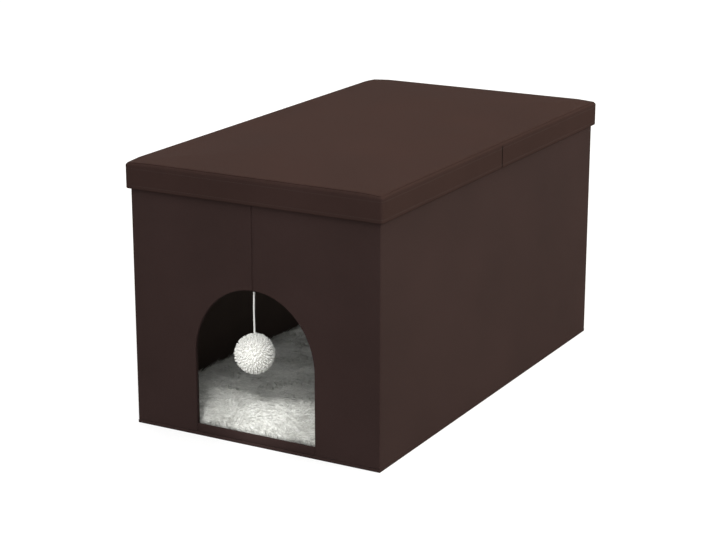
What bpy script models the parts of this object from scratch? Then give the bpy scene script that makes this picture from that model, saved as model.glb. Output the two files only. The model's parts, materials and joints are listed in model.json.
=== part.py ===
"""Folding cat cave with a padded lift-off lid, in metres, +Z up, front towards -Y.

Six hardboard panels are sewn into a leathercloth cover: two long sides and four half ends.
The half ends fold inwards at a crease in the middle of each end, and the right side follows.
The left side is sewn to the base, so base and left side stay put while the rest folds.
"""

import math

import bmesh
import bpy
from mathutils import Matrix, Vector

# Overall box, across the outer faces of the walls
BOX_WIDTH = 0.396
BOX_LENGTH = 0.708
WALL_HEIGHT = 0.3598

# Sheets that the panels are made of
COVER_THICKNESS = 0.0008
LINING_THICKNESS = 0.0006
WALL_BOARD_THICKNESS = 0.0046
BASE_BOARD_THICKNESS = 0.0028
SEAT_GAP = 0.00025  # between a board and the cloth round it
TOUCH_GAP = 0.0003  # between two pieces that rest on each other
EDGE_ROUNDING = 0.0014  # how far cloth rounds over the edge of a board
EDGE_SEGMENTS = 2
SOFT_EDGE = math.radians(50)  # edges sharper than this stay crisp in the shading

# Folding ends
CREASE_GAP = 0.0024  # between the two half ends
CREASE_CLEARANCE = 0.0005  # from a crease's axis to the outer faces
CORNER_GAP = 0.0004  # between a half end and a side
CORNER_CLEARANCE = 0.0012  # from a corner's axis to the inner face of a half end
CREASE_STRIP_CLEARANCE = 0.0003
CREASE_STRIP_THICKNESS = 0.0008
CREASE_STRIP_DEPTH = 0.0008  # how far the strip lies behind the outer faces
HINGE_TAPE_LEG = 0.018
HINGE_TAPE_THICKNESS = 0.0005

# Doorway in the front
DOOR_HALF_WIDTH = 0.0962
DOOR_SPRING_HEIGHT = 0.1210  # height above the floor where the arch begins
DOOR_RISE = 0.1055  # height of the arch above its springing
SILL_TOP = 0.0175
SILL_THICKNESS = 0.0030
SILL_ROUNDING = 0.0011
DOOR_SEGMENTS = 14  # in each half of the arch

# Lid
LID_CLEARANCE = 0.0018  # between the lid's skirt and the walls
SKIRT_BOARD_THICKNESS = 0.0018
LID_BOARD_THICKNESS = 0.0050
LID_DROP = 0.0168  # how far the skirt hangs below the tops of the walls
LID_FOAM_THICKNESS = 0.0148  # at the lid's edge
LID_CROWN = 0.0035  # how much higher the middle of the lid is than its edge
LID_EDGE_RADIUS = 0.0060
LID_CORNER_RADIUS = 0.0050
HEM_RETURN = 0.0080  # how far the cover turns up inside the skirt
LID_EDGE_STEPS = 5
LID_CROWN_STEPS = 4

# Cushion
CUSHION_CLEARANCE = 0.0035  # between the cushion and the walls
CUSHION_EDGE_HEIGHT = 0.0250
CUSHION_CROWN = 0.0130
CUSHION_CORNER_RADIUS = 0.0320
CUSHION_PULL = 0.0060  # how far each side draws in between its corners
CUSHION_PLUSH_THICKNESS = 0.0050
CUSHION_HEM_INSET = 0.0070
CUSHION_SHOULDER_INSET = 0.0200
CUSHION_CROWN_STEPS = 4

# Hanging toy
TOY_TAB_THICKNESS = 0.0012
TOY_TAB_WIDTH = 0.0028
TOY_TAB_HEIGHT = 0.0120
TOY_TAB_DROP = 0.0010  # how far the tab shows below the top of the doorway
TOY_KNOT_RADIUS = 0.0017
TOY_CORD_LENGTH = 0.0562
TOY_CORD_DIAMETER = 0.0026
# Each point of the cord's route: how far sideways, and what share of the way down
TOY_CORD_ROUTE = [(0.0, 0.0), (-0.0003, 0.25), (-0.0004, 0.50), (-0.0002, 0.75), (0.0, 1.0)]
TOY_CORD_POINTS = 16
POMPOM_RADIUS = 0.0290
POMPOM_TUFT = 0.0012  # how far the yarn tufts stand out

# Worked out from the sizes above
HALF_WIDTH = BOX_WIDTH / 2
HALF_LENGTH = BOX_LENGTH / 2
WALL = COVER_THICKNESS + WALL_BOARD_THICKNESS + LINING_THICKNESS + 2 * SEAT_GAP
BASE_TOP = COVER_THICKNESS + BASE_BOARD_THICKNESS + LINING_THICKNESS + 2 * SEAT_GAP
WALL_FOOT = BASE_TOP + TOUCH_GAP
WALL_TOP = WALL_FOOT + WALL_HEIGHT
INNER_HALF_WIDTH = HALF_WIDTH - WALL
INNER_HALF_LENGTH = HALF_LENGTH - WALL
DOOR_TOP = DOOR_SPRING_HEIGHT + DOOR_RISE

LEATHERCLOTH = ("leathercloth", (0.075, 0.042, 0.034), 0.45)
HARDBOARD = ("hardboard", (0.36, 0.22, 0.12), 0.80)
LINING_CLOTH = ("lining_cloth", (0.018, 0.014, 0.013), 0.95)
FOAM = ("foam", (0.80, 0.76, 0.66), 0.95)
PLUSH = ("plush", (0.78, 0.78, 0.75), 0.95)
YARN = ("yarn", (0.86, 0.86, 0.83), 0.90)


def clear_scene():
    for obj in list(bpy.data.objects):
        bpy.data.objects.remove(obj, do_unlink=True)


def material(spec):
    """The Principled material of a finish, made once and shared."""
    name, colour, roughness = spec
    found = bpy.data.materials.get(name)
    if found:
        return found
    made = bpy.data.materials.new(name)
    made.use_nodes = True
    shader = made.node_tree.nodes["Principled BSDF"]
    shader.inputs["Base Color"].default_value = (*colour, 1.0)
    shader.inputs["Roughness"].default_value = roughness
    shader.inputs["Metallic"].default_value = 0.0
    return made


def add_mesh(name, bm, finish, parent, smooth_angle=None):
    """Makes a named object of bm, hung on its body's empty without moving it."""
    bmesh.ops.recalc_face_normals(bm, faces=bm.faces)
    mesh = bpy.data.meshes.new(name)
    bm.to_mesh(mesh)
    bm.free()
    if smooth_angle is not None:
        mesh.shade_smooth()
        mesh.set_sharp_from_angle(angle=smooth_angle)
    mesh.materials.append(material(finish))
    obj = bpy.data.objects.new(name, mesh)
    bpy.context.scene.collection.objects.link(obj)
    hang(obj, parent)
    return obj


def hang(obj, parent):
    """Parents obj, whose points are in world places, so that it stays where it is."""
    obj.parent = parent
    obj.matrix_parent_inverse = Matrix.Translation(-world_place(parent))


def world_place(empty):
    place = Vector(empty.location)
    while empty.parent:
        empty = empty.parent
        place += Vector(empty.location)
    return place


def add_pivot(name, place, parent=None):
    """An empty on a joint's axis. What turns about the axis hangs on it."""
    empty = bpy.data.objects.new(name, None)
    empty.location = Vector(place) - (world_place(parent) if parent else Vector())
    empty.parent = parent
    bpy.context.scene.collection.objects.link(empty)
    return empty


def extruded(outline, axis, low, high):
    """A prism: outline is a list of 2-D points in the plane across axis, drawn from low to high."""
    bm = bmesh.new()
    ends = [[bm.verts.new(placed(p, axis, at)) for p in outline] for at in (low, high)]
    bridge(bm, ends[0], ends[1])
    bm.faces.new(ends[0][::-1])
    bm.faces.new(ends[1])
    return bm


def placed(point, axis, at):
    """A 2-D point put in space: its two numbers fill the axes other than axis, in X, Y, Z order."""
    u, v = point
    return {"x": (at, u, v), "y": (u, at, v), "z": (u, v, at)}[axis]


def bridge(bm, ring_a, ring_b):
    """Quads between two closed rings with the same number of points."""
    count = len(ring_a)
    for i in range(count):
        j = (i + 1) % count
        bm.faces.new((ring_a[i], ring_a[j], ring_b[j], ring_b[i]))


def box(low, high):
    return extruded(rectangle(low[0], low[1], high[0], high[1]), "z", low[2], high[2])


def rectangle(u0, v0, u1, v1):
    return [(u0, v0), (u1, v0), (u1, v1), (u0, v1)]


def face_at(bm, axis, at):
    """The flat face that lies across axis at this place."""
    index = "xyz".index(axis)
    for face in bm.faces:
        if all(abs(v.co[index] - at) < 1e-6 for v in face.verts):
            return face
    raise ValueError(f"no face at {axis} = {at}")


def round_edges(bm, edges, size):
    bmesh.ops.bevel(bm, geom=edges, offset=size, segments=EDGE_SEGMENTS, affect="EDGES", profile=0.5)


def cover_tray(outline, axis, outer, inner):
    """A panel's cover: cloth over the outer face and round every edge, open where the lining goes."""
    bm = extruded(outline, axis, outer, inner)
    round_edges(bm, list(face_at(bm, axis, outer).edges), EDGE_ROUNDING)
    mouth = face_at(bm, axis, inner)
    bmesh.ops.inset_region(bm, faces=[mouth], thickness=COVER_THICKNESS, use_even_offset=True)
    floor = bmesh.ops.extrude_face_region(bm, geom=[mouth])
    sunk = [g for g in floor["geom"] if isinstance(g, bmesh.types.BMVert)]
    depth = (abs(inner - outer) - COVER_THICKNESS) * (1 if outer > inner else -1)
    bmesh.ops.translate(bm, verts=sunk, vec=placed((0, 0), axis, depth))
    bmesh.ops.delete(bm, geom=[mouth], context="FACES")
    return bm


def add_panel(prefix, outline, axis, outer, inner, board_thickness, parent):
    """One panel: cover, board and lining. outline(inset) gives its edge drawn in by inset."""
    inwards = 1 if inner > outer else -1
    cover = cover_tray(outline(0), axis, outer, inner)
    add_mesh(f"{prefix}_cover", cover, LEATHERCLOTH, parent, SOFT_EDGE)
    inset = COVER_THICKNESS + SEAT_GAP
    board_face = outer + inwards * inset
    board_back = board_face + inwards * board_thickness
    lining_face = board_back + inwards * SEAT_GAP
    board = extruded(outline(inset), axis, *sorted((board_face, board_back)))
    add_mesh(f"{prefix}_board", board, HARDBOARD, parent)
    lining = extruded(outline(inset), axis, *sorted((lining_face, inner)))
    add_mesh(f"{prefix}_lining", lining, LINING_CLOTH, parent)


def side_outline(inset):
    return rectangle(-HALF_LENGTH + inset, WALL_FOOT + inset, HALF_LENGTH - inset, WALL_TOP - inset)


def base_outline(inset):
    return rectangle(-HALF_WIDTH + inset, -HALF_LENGTH + inset, HALF_WIDTH - inset, HALF_LENGTH - inset)


def end_outline(side):
    """A plain half end. side is -1 for the left half and +1 for the right half."""
    near, far = CREASE_GAP / 2, INNER_HALF_WIDTH - CORNER_GAP

    def outline(inset):
        u0, u1 = sorted((side * (near + inset), side * (far - inset)))
        return rectangle(u0, WALL_FOOT + inset, u1, WALL_TOP - inset)

    return outline


def door_outline(side):
    """A half end with half of the doorway cut out of it."""
    near, far = CREASE_GAP / 2, INNER_HALF_WIDTH - CORNER_GAP

    def outline(inset):
        half, rise = DOOR_HALF_WIDTH + inset, DOOR_RISE + inset
        start = math.acos((near + inset) / half)  # where the arch meets the crease
        turns = [start * (1 - i / DOOR_SEGMENTS) for i in range(DOOR_SEGMENTS + 1)]
        points = [(near + inset, WALL_TOP - inset)]
        points += [(half * math.cos(a), DOOR_SPRING_HEIGHT + rise * math.sin(a)) for a in turns]
        foot, top = WALL_FOOT + inset, WALL_TOP - inset
        points += [(half, foot), (far - inset, foot), (far - inset, top)]
        return [(side * u, v) for u, v in points]

    return outline


def add_base_and_left(root):
    add_panel("base", base_outline, "z", 0.0, BASE_TOP, BASE_BOARD_THICKNESS, root)
    add_panel("left_side", side_outline, "x", -HALF_WIDTH, -INNER_HALF_WIDTH, WALL_BOARD_THICKNESS, root)


def add_sill(name, side, parent):
    """Half of the cloth-covered strip under the doorway."""
    u0, u1 = sorted((side * CREASE_GAP / 2, side * (DOOR_HALF_WIDTH - TOUCH_GAP)))
    bm = box((u0, -HALF_LENGTH, WALL_FOOT), (u1, -HALF_LENGTH + SILL_THICKNESS, SILL_TOP))
    top_edges = [e for e in bm.edges if all(abs(v.co.z - SILL_TOP) < 1e-6 for v in e.verts)]
    long_edges = [e for e in top_edges if abs(e.verts[0].co.x - e.verts[1].co.x) > CREASE_GAP]
    round_edges(bm, long_edges, SILL_ROUNDING)
    add_mesh(name, bm, LEATHERCLOTH, parent, SOFT_EDGE)


def add_crease_strip(name, end, bottom, parent):
    """The strip of cover that joins two half ends. end is -1 at the front and +1 at the rear."""
    half = CREASE_GAP / 2 - CREASE_STRIP_CLEARANCE
    outer = end * (HALF_LENGTH - CREASE_STRIP_DEPTH)
    y0, y1 = sorted((outer, outer - end * CREASE_STRIP_THICKNESS))
    add_mesh(name, box((-half, y0, bottom), (half, y1, WALL_TOP)), LEATHERCLOTH, parent)


def add_corner_tape(name, side, end, parent):
    """The cloth tape that joins a side and a half end inside their corner."""
    inner_x, inner_y = INNER_HALF_WIDTH - TOUCH_GAP, INNER_HALF_LENGTH - TOUCH_GAP
    thin, leg = HINGE_TAPE_THICKNESS, HINGE_TAPE_LEG
    corner = [
        (inner_x, inner_y), (inner_x - leg, inner_y), (inner_x - leg, inner_y - thin),
        (inner_x - thin, inner_y - thin), (inner_x - thin, inner_y - leg), (inner_x, inner_y - leg),
    ]
    outline = [(side * x, end * y) for x, y in corner]
    add_mesh(name, extruded(outline, "z", WALL_FOOT, WALL_TOP), LINING_CLOTH, parent)


def ring(half_width, half_length, corner_radius, z, pull=0.0, corner_steps=4, side_steps=4):
    """Points round a rounded rectangle. pull draws each side in between its corners."""
    points = []
    radius = min(corner_radius, half_width, half_length)
    corners = [(1, 1, 0), (-1, 1, 90), (-1, -1, 180), (1, -1, 270)]
    for sx, sy, start in corners:
        for i in range(corner_steps + 1):
            a = math.radians(start + 90 * i / corner_steps)
            points.append((sx * (half_width - radius) + radius * math.cos(a),
                           sy * (half_length - radius) + radius * math.sin(a)))
    filled = []
    for i, p in enumerate(points):
        filled.append(p)
        if i % (corner_steps + 1) == corner_steps:
            q = points[(i + 1) % len(points)]
            for s in range(1, side_steps):
                t = s / side_steps
                sag = pull * math.sin(math.pi * t)
                x, y = p[0] + (q[0] - p[0]) * t, p[1] + (q[1] - p[1]) * t
                along_y = abs(q[1] - p[1]) > abs(q[0] - p[0])
                filled.append((x - math.copysign(sag, x), y) if along_y else (x, y - math.copysign(sag, y)))
    return [Vector((x, y, z)) for x, y in filled]


def lofted(rings):
    """A closed solid through rings with the same number of points, flat at both ends."""
    bm = bmesh.new()
    made = [[bm.verts.new(p) for p in points] for points in rings]
    for a, b in zip(made, made[1:]):
        bridge(bm, a, b)
    bm.faces.new(made[0][::-1])
    bm.faces.new(made[-1])
    return bm


LID_SKIRT = 2 * COVER_THICKNESS + SKIRT_BOARD_THICKNESS + 2 * TOUCH_GAP  # from outside to inside
LID_HALF_WIDTH = HALF_WIDTH + LID_CLEARANCE + LID_SKIRT
LID_HALF_LENGTH = HALF_LENGTH + LID_CLEARANCE + LID_SKIRT
LID_BOTTOM = WALL_TOP - LID_DROP
LID_LINING_FOOT = WALL_TOP + TOUCH_GAP
LID_BOARD_FOOT = LID_LINING_FOOT + LINING_THICKNESS + TOUCH_GAP
LID_FOAM_FOOT = LID_BOARD_FOOT + LID_BOARD_THICKNESS + TOUCH_GAP
LID_EDGE_TOP = LID_FOAM_FOOT + LID_FOAM_THICKNESS + TOUCH_GAP + COVER_THICKNESS


def lid_ring(inset, z):
    return ring(LID_HALF_WIDTH - inset, LID_HALF_LENGTH - inset, max(LID_CORNER_RADIUS - inset, 0.0008), z)


def lid_dome(depth):
    """Rings from the side of the lid over its padded edge to its middle, depth below the outer surface."""
    rings = []
    radius = LID_EDGE_RADIUS - depth
    for i in range(LID_EDGE_STEPS + 1):
        a = math.radians(90 * i / LID_EDGE_STEPS)
        inset = LID_EDGE_RADIUS - radius * math.cos(a)
        rings.append(lid_ring(inset, LID_EDGE_TOP - LID_EDGE_RADIUS + radius * math.sin(a)))
    reach = LID_HALF_WIDTH * 0.8
    for i in range(1, LID_CROWN_STEPS + 1):
        t = i / LID_CROWN_STEPS
        rise = LID_CROWN * math.sin(math.pi / 2 * t)
        rings.append(lid_ring(LID_EDGE_RADIUS + (reach - LID_EDGE_RADIUS) * t, LID_EDGE_TOP - depth + rise))
    return rings


def add_lid(lid):
    inside = COVER_THICKNESS
    turned = LID_SKIRT - COVER_THICKNESS
    hem_floor = LID_BOTTOM + COVER_THICKNESS
    cover = list(reversed(lid_dome(inside)))
    cover += [lid_ring(inside, hem_floor), lid_ring(turned, hem_floor)]
    cover += [lid_ring(turned, LID_BOTTOM + HEM_RETURN), lid_ring(LID_SKIRT, LID_BOTTOM + HEM_RETURN)]
    cover += [lid_ring(LID_SKIRT, LID_BOTTOM + inside), lid_ring(turned, LID_BOTTOM)]
    cover += [lid_ring(inside, LID_BOTTOM), lid_ring(0.0, hem_floor)]
    cover += lid_dome(0.0)
    add_mesh("lid_cover", lofted(cover), LEATHERCLOTH, lid, SOFT_EDGE)

    room = COVER_THICKNESS + TOUCH_GAP
    foam = [lid_ring(room, LID_FOAM_FOOT)] + lid_dome(room)
    add_mesh("lid_foam", lofted(foam), FOAM, lid, SOFT_EDGE)
    board = [lid_ring(room, LID_BOARD_FOOT), lid_ring(room, LID_BOARD_FOOT + LID_BOARD_THICKNESS)]
    add_mesh("lid_board", lofted(board), HARDBOARD, lid)
    lining_top = LID_LINING_FOOT + LINING_THICKNESS
    inner = turned
    lining = [lid_ring(inner, LID_LINING_FOOT), lid_ring(inner, lining_top)]
    add_mesh("lid_lining", lofted(lining), LINING_CLOTH, lid)
    add_skirt_boards(lid, room, hem_floor + TOUCH_GAP, lining_top)


def add_skirt_boards(lid, inset, bottom, top):
    """Four thin boards in the lid's skirt. The long ones run between the short ones."""
    x1, y1 = LID_HALF_WIDTH - inset, LID_HALF_LENGTH - inset
    x0, y0 = x1 - SKIRT_BOARD_THICKNESS, y1 - SKIRT_BOARD_THICKNESS
    corner = LID_CORNER_RADIUS
    for name, side in (("left", -1), ("right", 1)):
        low, high = sorted((side * x0, side * x1))
        board = box((low, -y1 + corner, bottom), (high, y1 - corner, top))
        add_mesh(f"lid_skirt_board_{name}", board, HARDBOARD, lid)
    for name, end in (("front", -1), ("rear", 1)):
        low, high = sorted((end * y0, end * y1))
        board = box((-x1 + corner, low, bottom), (x1 - corner, high, top))
        add_mesh(f"lid_skirt_board_{name}", board, HARDBOARD, lid)


def cushion_ring(inset, z):
    half_width = INNER_HALF_WIDTH - CUSHION_CLEARANCE - inset
    half_length = INNER_HALF_LENGTH - CUSHION_CLEARANCE - inset
    radius = max(CUSHION_CORNER_RADIUS - inset, 0.004)
    return ring(half_width, half_length, radius, z, CUSHION_PULL, corner_steps=5, side_steps=6)


def cushion_dome(depth):
    """Rings from the cushion's hem over its full sides to its crown, depth below the outer surface."""
    foot = BASE_TOP + TOUCH_GAP
    profile = [
        (CUSHION_HEM_INSET, foot),
        (CUSHION_HEM_INSET * 0.25, foot + CUSHION_EDGE_HEIGHT * 0.25),
        (0.0, foot + CUSHION_EDGE_HEIGHT * 0.48),
        (CUSHION_SHOULDER_INSET * 0.20, foot + CUSHION_EDGE_HEIGHT * 0.76),
        (CUSHION_SHOULDER_INSET * 0.55, foot + CUSHION_EDGE_HEIGHT * 0.93),
        (CUSHION_SHOULDER_INSET, foot + CUSHION_EDGE_HEIGHT),
    ]
    rings = []
    for inset, z in profile:
        lowered = depth * (z - foot) / CUSHION_EDGE_HEIGHT
        rings.append(cushion_ring(inset + depth, z - lowered))
    reach = INNER_HALF_WIDTH * 0.78
    for i in range(1, CUSHION_CROWN_STEPS + 1):
        t = i / CUSHION_CROWN_STEPS
        rise = CUSHION_CROWN * math.sin(math.pi / 2 * t)
        inset = CUSHION_SHOULDER_INSET + (reach - CUSHION_SHOULDER_INSET) * t
        rings.append(cushion_ring(inset + depth, foot + CUSHION_EDGE_HEIGHT - depth + rise))
    return rings


def add_cushion(body):
    """A plush cover with its underside cloth, round a block of foam."""
    outer = cushion_dome(0.0)
    inner = list(reversed(cushion_dome(CUSHION_PLUSH_THICKNESS)))
    add_mesh("cushion_plush", lofted(inner + outer), PLUSH, body, SOFT_EDGE)
    room = CUSHION_PLUSH_THICKNESS + TOUCH_GAP
    foot = BASE_TOP + TOUCH_GAP
    underside_top = foot + LINING_THICKNESS
    lift = underside_top + TOUCH_GAP - foot
    rings = cushion_dome(room)
    for points in rings[:1]:
        for p in points:
            p.z += lift
    add_mesh("cushion_foam", lofted(rings), FOAM, body, SOFT_EDGE)
    hem = CUSHION_HEM_INSET + room
    underside = [cushion_ring(hem, foot), cushion_ring(hem, underside_top)]
    add_mesh("cushion_underside", lofted(underside), LINING_CLOTH, body)


TOY_Y = -HALF_LENGTH + WALL / 2
TOY_PIVOT_Z = DOOR_TOP - TOY_TAB_DROP - TOUCH_GAP - TOY_KNOT_RADIUS
CORD_TOP = TOY_PIVOT_Z - TOY_KNOT_RADIUS - TOUCH_GAP
CORD_FOOT = CORD_TOP - TOY_CORD_LENGTH
POMPOM_Z = CORD_FOOT - TOUCH_GAP - POMPOM_RADIUS


def add_ball(name, centre, radius, subdivisions, finish, parent, tuft=0.0):
    """An icosphere. With a tuft, every other ring of its points stands out or in, like cut yarn."""
    bm = bmesh.new()
    bmesh.ops.create_icosphere(bm, subdivisions=subdivisions, radius=radius)
    crown = max(v.co.z for v in bm.verts)
    for v in bm.verts:
        if v.co.z < crown - radius * 0.02:
            wave = math.sin(v.co.x * 1900) + math.sin(v.co.y * 2300) + math.sin(v.co.z * 2100)
            v.co -= v.co.normalized() * tuft * (0.5 - wave / 6)
    bmesh.ops.translate(bm, verts=bm.verts, vec=centre)
    return add_mesh(name, bm, finish, parent, SOFT_EDGE)


def smooth_point(route, t):
    """The point at t, from 0 to 1, of a smooth curve through the route's points."""
    spans = len(route) - 1
    i = min(int(t * spans), spans - 1)
    f = t * spans - i
    before, after = route[max(i - 1, 0)], route[min(i + 2, spans)]
    point = []
    for a, b, c, d in zip(before, route[i], route[i + 1], after):
        slope, curve, twist = c - a, 2 * a - 5 * b + 4 * c - d, 3 * b - a - 3 * c + d
        point.append(0.5 * (2 * b + slope * f + curve * f ** 2 + twist * f ** 3))
    return point


def add_cord(name, parent):
    """The toy's cord: a round cord that hangs in a slight bow."""
    curve = bpy.data.curves.new(name, "CURVE")
    curve.dimensions = "3D"
    curve.bevel_depth = TOY_CORD_DIAMETER / 2
    curve.bevel_resolution = 2
    curve.use_fill_caps = True
    spline = curve.splines.new("POLY")
    spline.points.add(TOY_CORD_POINTS - 1)
    for i, point in enumerate(spline.points):
        aside, down = smooth_point(TOY_CORD_ROUTE, i / (TOY_CORD_POINTS - 1))
        point.co = (aside, TOY_Y, CORD_TOP + (CORD_FOOT - CORD_TOP) * down, 1.0)
    curve.materials.append(material(YARN))
    obj = bpy.data.objects.new(name, curve)
    bpy.context.scene.collection.objects.link(obj)
    hang(obj, parent)


def add_toy(front_left):
    """The pompom on its elastic cord, hung from a tab sewn into the crease above the doorway."""
    tab_low = (-TOY_TAB_THICKNESS / 2, TOY_Y - TOY_TAB_WIDTH / 2, DOOR_TOP - TOY_TAB_DROP)
    tab_high = (TOY_TAB_THICKNESS / 2, TOY_Y + TOY_TAB_WIDTH / 2, DOOR_TOP - TOY_TAB_DROP + TOY_TAB_HEIGHT)
    add_mesh("toy_tab", box(tab_low, tab_high), LEATHERCLOTH, front_left)
    pivot = (0.0, TOY_Y, TOY_PIVOT_Z)
    knot = add_pivot("toy_swing_pivot", pivot, front_left)
    add_ball("toy_knot", pivot, TOY_KNOT_RADIUS, 2, YARN, knot)
    cord = add_pivot("toy_sway_pivot", pivot, knot)
    add_cord("toy_cord", cord)
    centre = (0.0, TOY_Y, POMPOM_Z)
    pompom = add_pivot("pompom_place", centre, cord)
    add_ball("pompom", centre, POMPOM_RADIUS, 4, YARN, pompom, POMPOM_TUFT)


def main():
    clear_scene()
    root = add_pivot("base_place", (0.0, 0.0, 0.0))
    add_base_and_left(root)

    corner_x = INNER_HALF_WIDTH
    corner_y = INNER_HALF_LENGTH - CORNER_CLEARANCE
    crease_y = HALF_LENGTH + CREASE_CLEARANCE
    front_left = add_pivot("front_left_pivot", (-corner_x, -corner_y, 0.0), root)
    front_right = add_pivot("front_crease_pivot", (0.0, -crease_y, 0.0), front_left)
    right_side = add_pivot("front_right_pivot", (corner_x, -corner_y, 0.0), front_right)
    rear_left = add_pivot("rear_left_pivot", (-corner_x, corner_y, 0.0), root)
    rear_right = add_pivot("rear_crease_pivot", (0.0, crease_y, 0.0), rear_left)

    board = WALL_BOARD_THICKNESS
    add_panel("front_left", door_outline(-1), "y", -HALF_LENGTH, -INNER_HALF_LENGTH, board, front_left)
    add_panel("front_right", door_outline(1), "y", -HALF_LENGTH, -INNER_HALF_LENGTH, board, front_right)
    add_panel("rear_left", end_outline(-1), "y", HALF_LENGTH, INNER_HALF_LENGTH, board, rear_left)
    add_panel("rear_right", end_outline(1), "y", HALF_LENGTH, INNER_HALF_LENGTH, board, rear_right)
    add_panel("right_side", side_outline, "x", HALF_WIDTH, INNER_HALF_WIDTH, board, right_side)

    add_sill("sill_left", -1, front_left)
    add_sill("sill_right", 1, front_right)
    add_crease_strip("front_crease_strip", -1, DOOR_TOP + TOUCH_GAP, front_left)
    add_crease_strip("rear_crease_strip", 1, WALL_FOOT, rear_left)
    add_corner_tape("front_left_tape", -1, -1, root)
    add_corner_tape("rear_left_tape", -1, 1, root)
    add_corner_tape("front_right_tape", 1, -1, right_side)
    add_corner_tape("rear_right_tape", 1, 1, right_side)

    lid = add_pivot("lid_place", (0.0, 0.0, LID_BOTTOM), root)
    add_lid(lid)
    cushion = add_pivot("cushion_place", (0.0, 0.0, BASE_TOP), root)
    add_cushion(cushion)
    add_toy(front_left)


main()
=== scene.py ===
# %% [markdown]
# # A folding cat cave with a padded lid
#
# The real thing is a box of six cloth-covered boards. The two ends fold inwards at a crease,
# a padded lid lies loose on top, and the front has an arched doorway with a pompom in it.
# The rigid model comes ready made. This script dresses it: cloth, stitching, plush and yarn.

# %% Load the rigid model
import json
import math

import bmesh
import bpy
import numpy as np
from mathutils import Matrix, Vector, noise


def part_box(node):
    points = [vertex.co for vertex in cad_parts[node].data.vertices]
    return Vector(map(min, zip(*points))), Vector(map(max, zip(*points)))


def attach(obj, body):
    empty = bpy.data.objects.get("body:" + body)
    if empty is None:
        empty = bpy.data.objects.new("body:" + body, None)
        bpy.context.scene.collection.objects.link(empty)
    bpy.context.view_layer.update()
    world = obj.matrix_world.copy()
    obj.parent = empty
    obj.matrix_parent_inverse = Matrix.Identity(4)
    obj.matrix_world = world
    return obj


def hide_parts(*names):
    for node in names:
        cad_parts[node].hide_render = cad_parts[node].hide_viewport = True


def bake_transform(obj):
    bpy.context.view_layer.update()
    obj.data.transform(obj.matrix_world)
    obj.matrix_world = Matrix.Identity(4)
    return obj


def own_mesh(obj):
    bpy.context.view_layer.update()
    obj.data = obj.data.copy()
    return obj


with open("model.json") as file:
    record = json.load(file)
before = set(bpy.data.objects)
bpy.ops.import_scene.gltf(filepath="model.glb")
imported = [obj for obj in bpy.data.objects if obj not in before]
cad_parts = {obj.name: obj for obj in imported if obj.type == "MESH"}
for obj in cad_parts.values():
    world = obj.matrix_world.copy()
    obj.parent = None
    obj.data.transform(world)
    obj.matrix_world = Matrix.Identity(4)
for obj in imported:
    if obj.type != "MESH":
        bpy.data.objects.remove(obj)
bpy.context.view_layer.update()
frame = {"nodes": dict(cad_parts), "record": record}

nodes = frame["nodes"]

# %% [markdown]
# ## Camera
#
# The camera stands where the photographer's did. Its place, turn and lens were worked out
# from the straight edges of the box, so a render lies over the photograph. A camera in Blender
# looks along its own -Z axis, and to_track_quat turns that axis towards a direction.

# %% Camera
CAMERA_AZIMUTH = math.radians(29.151)  # to the right of the doorway's straight-on view
CAMERA_HEIGHT_ANGLE = math.radians(16.255)


def add_object(name, data):
    """A new object, placed in the scene."""
    thing = bpy.data.objects.new(name, data)
    bpy.context.scene.collection.objects.link(thing)
    return thing


camera_data = bpy.data.cameras.new("camera")
camera_data.sensor_width = 36.0
camera_data.lens = 96.354
camera = add_object("camera", camera_data)
camera.location = (1.34169, -2.46500, 0.98494)
forward = Vector((
    -math.sin(CAMERA_AZIMUTH) * math.cos(CAMERA_HEIGHT_ANGLE),
    math.cos(CAMERA_AZIMUTH) * math.cos(CAMERA_HEIGHT_ANGLE),
    -math.sin(CAMERA_HEIGHT_ANGLE),
))
camera.rotation_euler = forward.to_track_quat("-Z", "Y").to_euler()
bpy.context.scene.camera = camera
bpy.context.scene.view_settings.view_transform = "Standard"

# %% [markdown]
# ## Node helpers
#
# The sky, the materials and the geometry trees are all made of nodes. A helper that adds a node,
# sets its values and joins it to others in one line keeps each of them short enough to read
# from top to bottom. Three more do sums, which is what most of the nodes are for.

# %% Node helpers
def add_node(tree, kind, links=(), **values):
    """A node in tree. values sets its properties; links joins sockets or sets their values by name."""
    node = tree.nodes.new(kind)
    for key, value in values.items():
        setattr(node, key, value)
    for socket, source in dict(links).items():
        target = node.inputs[socket]
        if isinstance(source, bpy.types.NodeSocket):
            tree.links.new(source, target)
        else:
            target.default_value = source
    return node


def sum_node(tree, operation, *values):
    """The result of a sum on numbers or sockets, such as MULTIPLY."""
    return add_node(tree, "ShaderNodeMath", dict(enumerate(values)), operation=operation).outputs[0]


def vector_node(tree, operation, first, second):
    """The result of a sum on vectors. SCALE multiplies a vector by a number."""
    links = {0: first, "Scale" if operation == "SCALE" else 1: second}
    return add_node(tree, "ShaderNodeVectorMath", links, operation=operation).outputs[0]


def ramp_node(tree, value, low, high, to_low=0.0, to_high=1.0, **values):
    """value, which runs from low to high, spread over to_low to to_high."""
    links = {"Value": value, "From Min": low, "From Max": high, "To Min": to_low, "To Max": to_high}
    return add_node(tree, "ShaderNodeMapRange", links, **values).outputs[0]


# %% [markdown]
# ## Studio
#
# The photograph has a white ground and soft light. The world is white to the camera and to
# reflections, and a softer grey to everything else, so it lights the object without burning out
# pale surfaces. The floor glows a little for the camera only: it stays white, and keeps a shadow.
# Five large lamps stand round the object: one high in front, one low in front that reaches under
# the lid's edge, one above, one at the right and one behind. The two above and at the right are
# a little warm, as the lid and the right side are in the photograph. A narrow lamp brightens the
# plush at the sill, and a weak one under the lid keeps the inside from going black.

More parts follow.
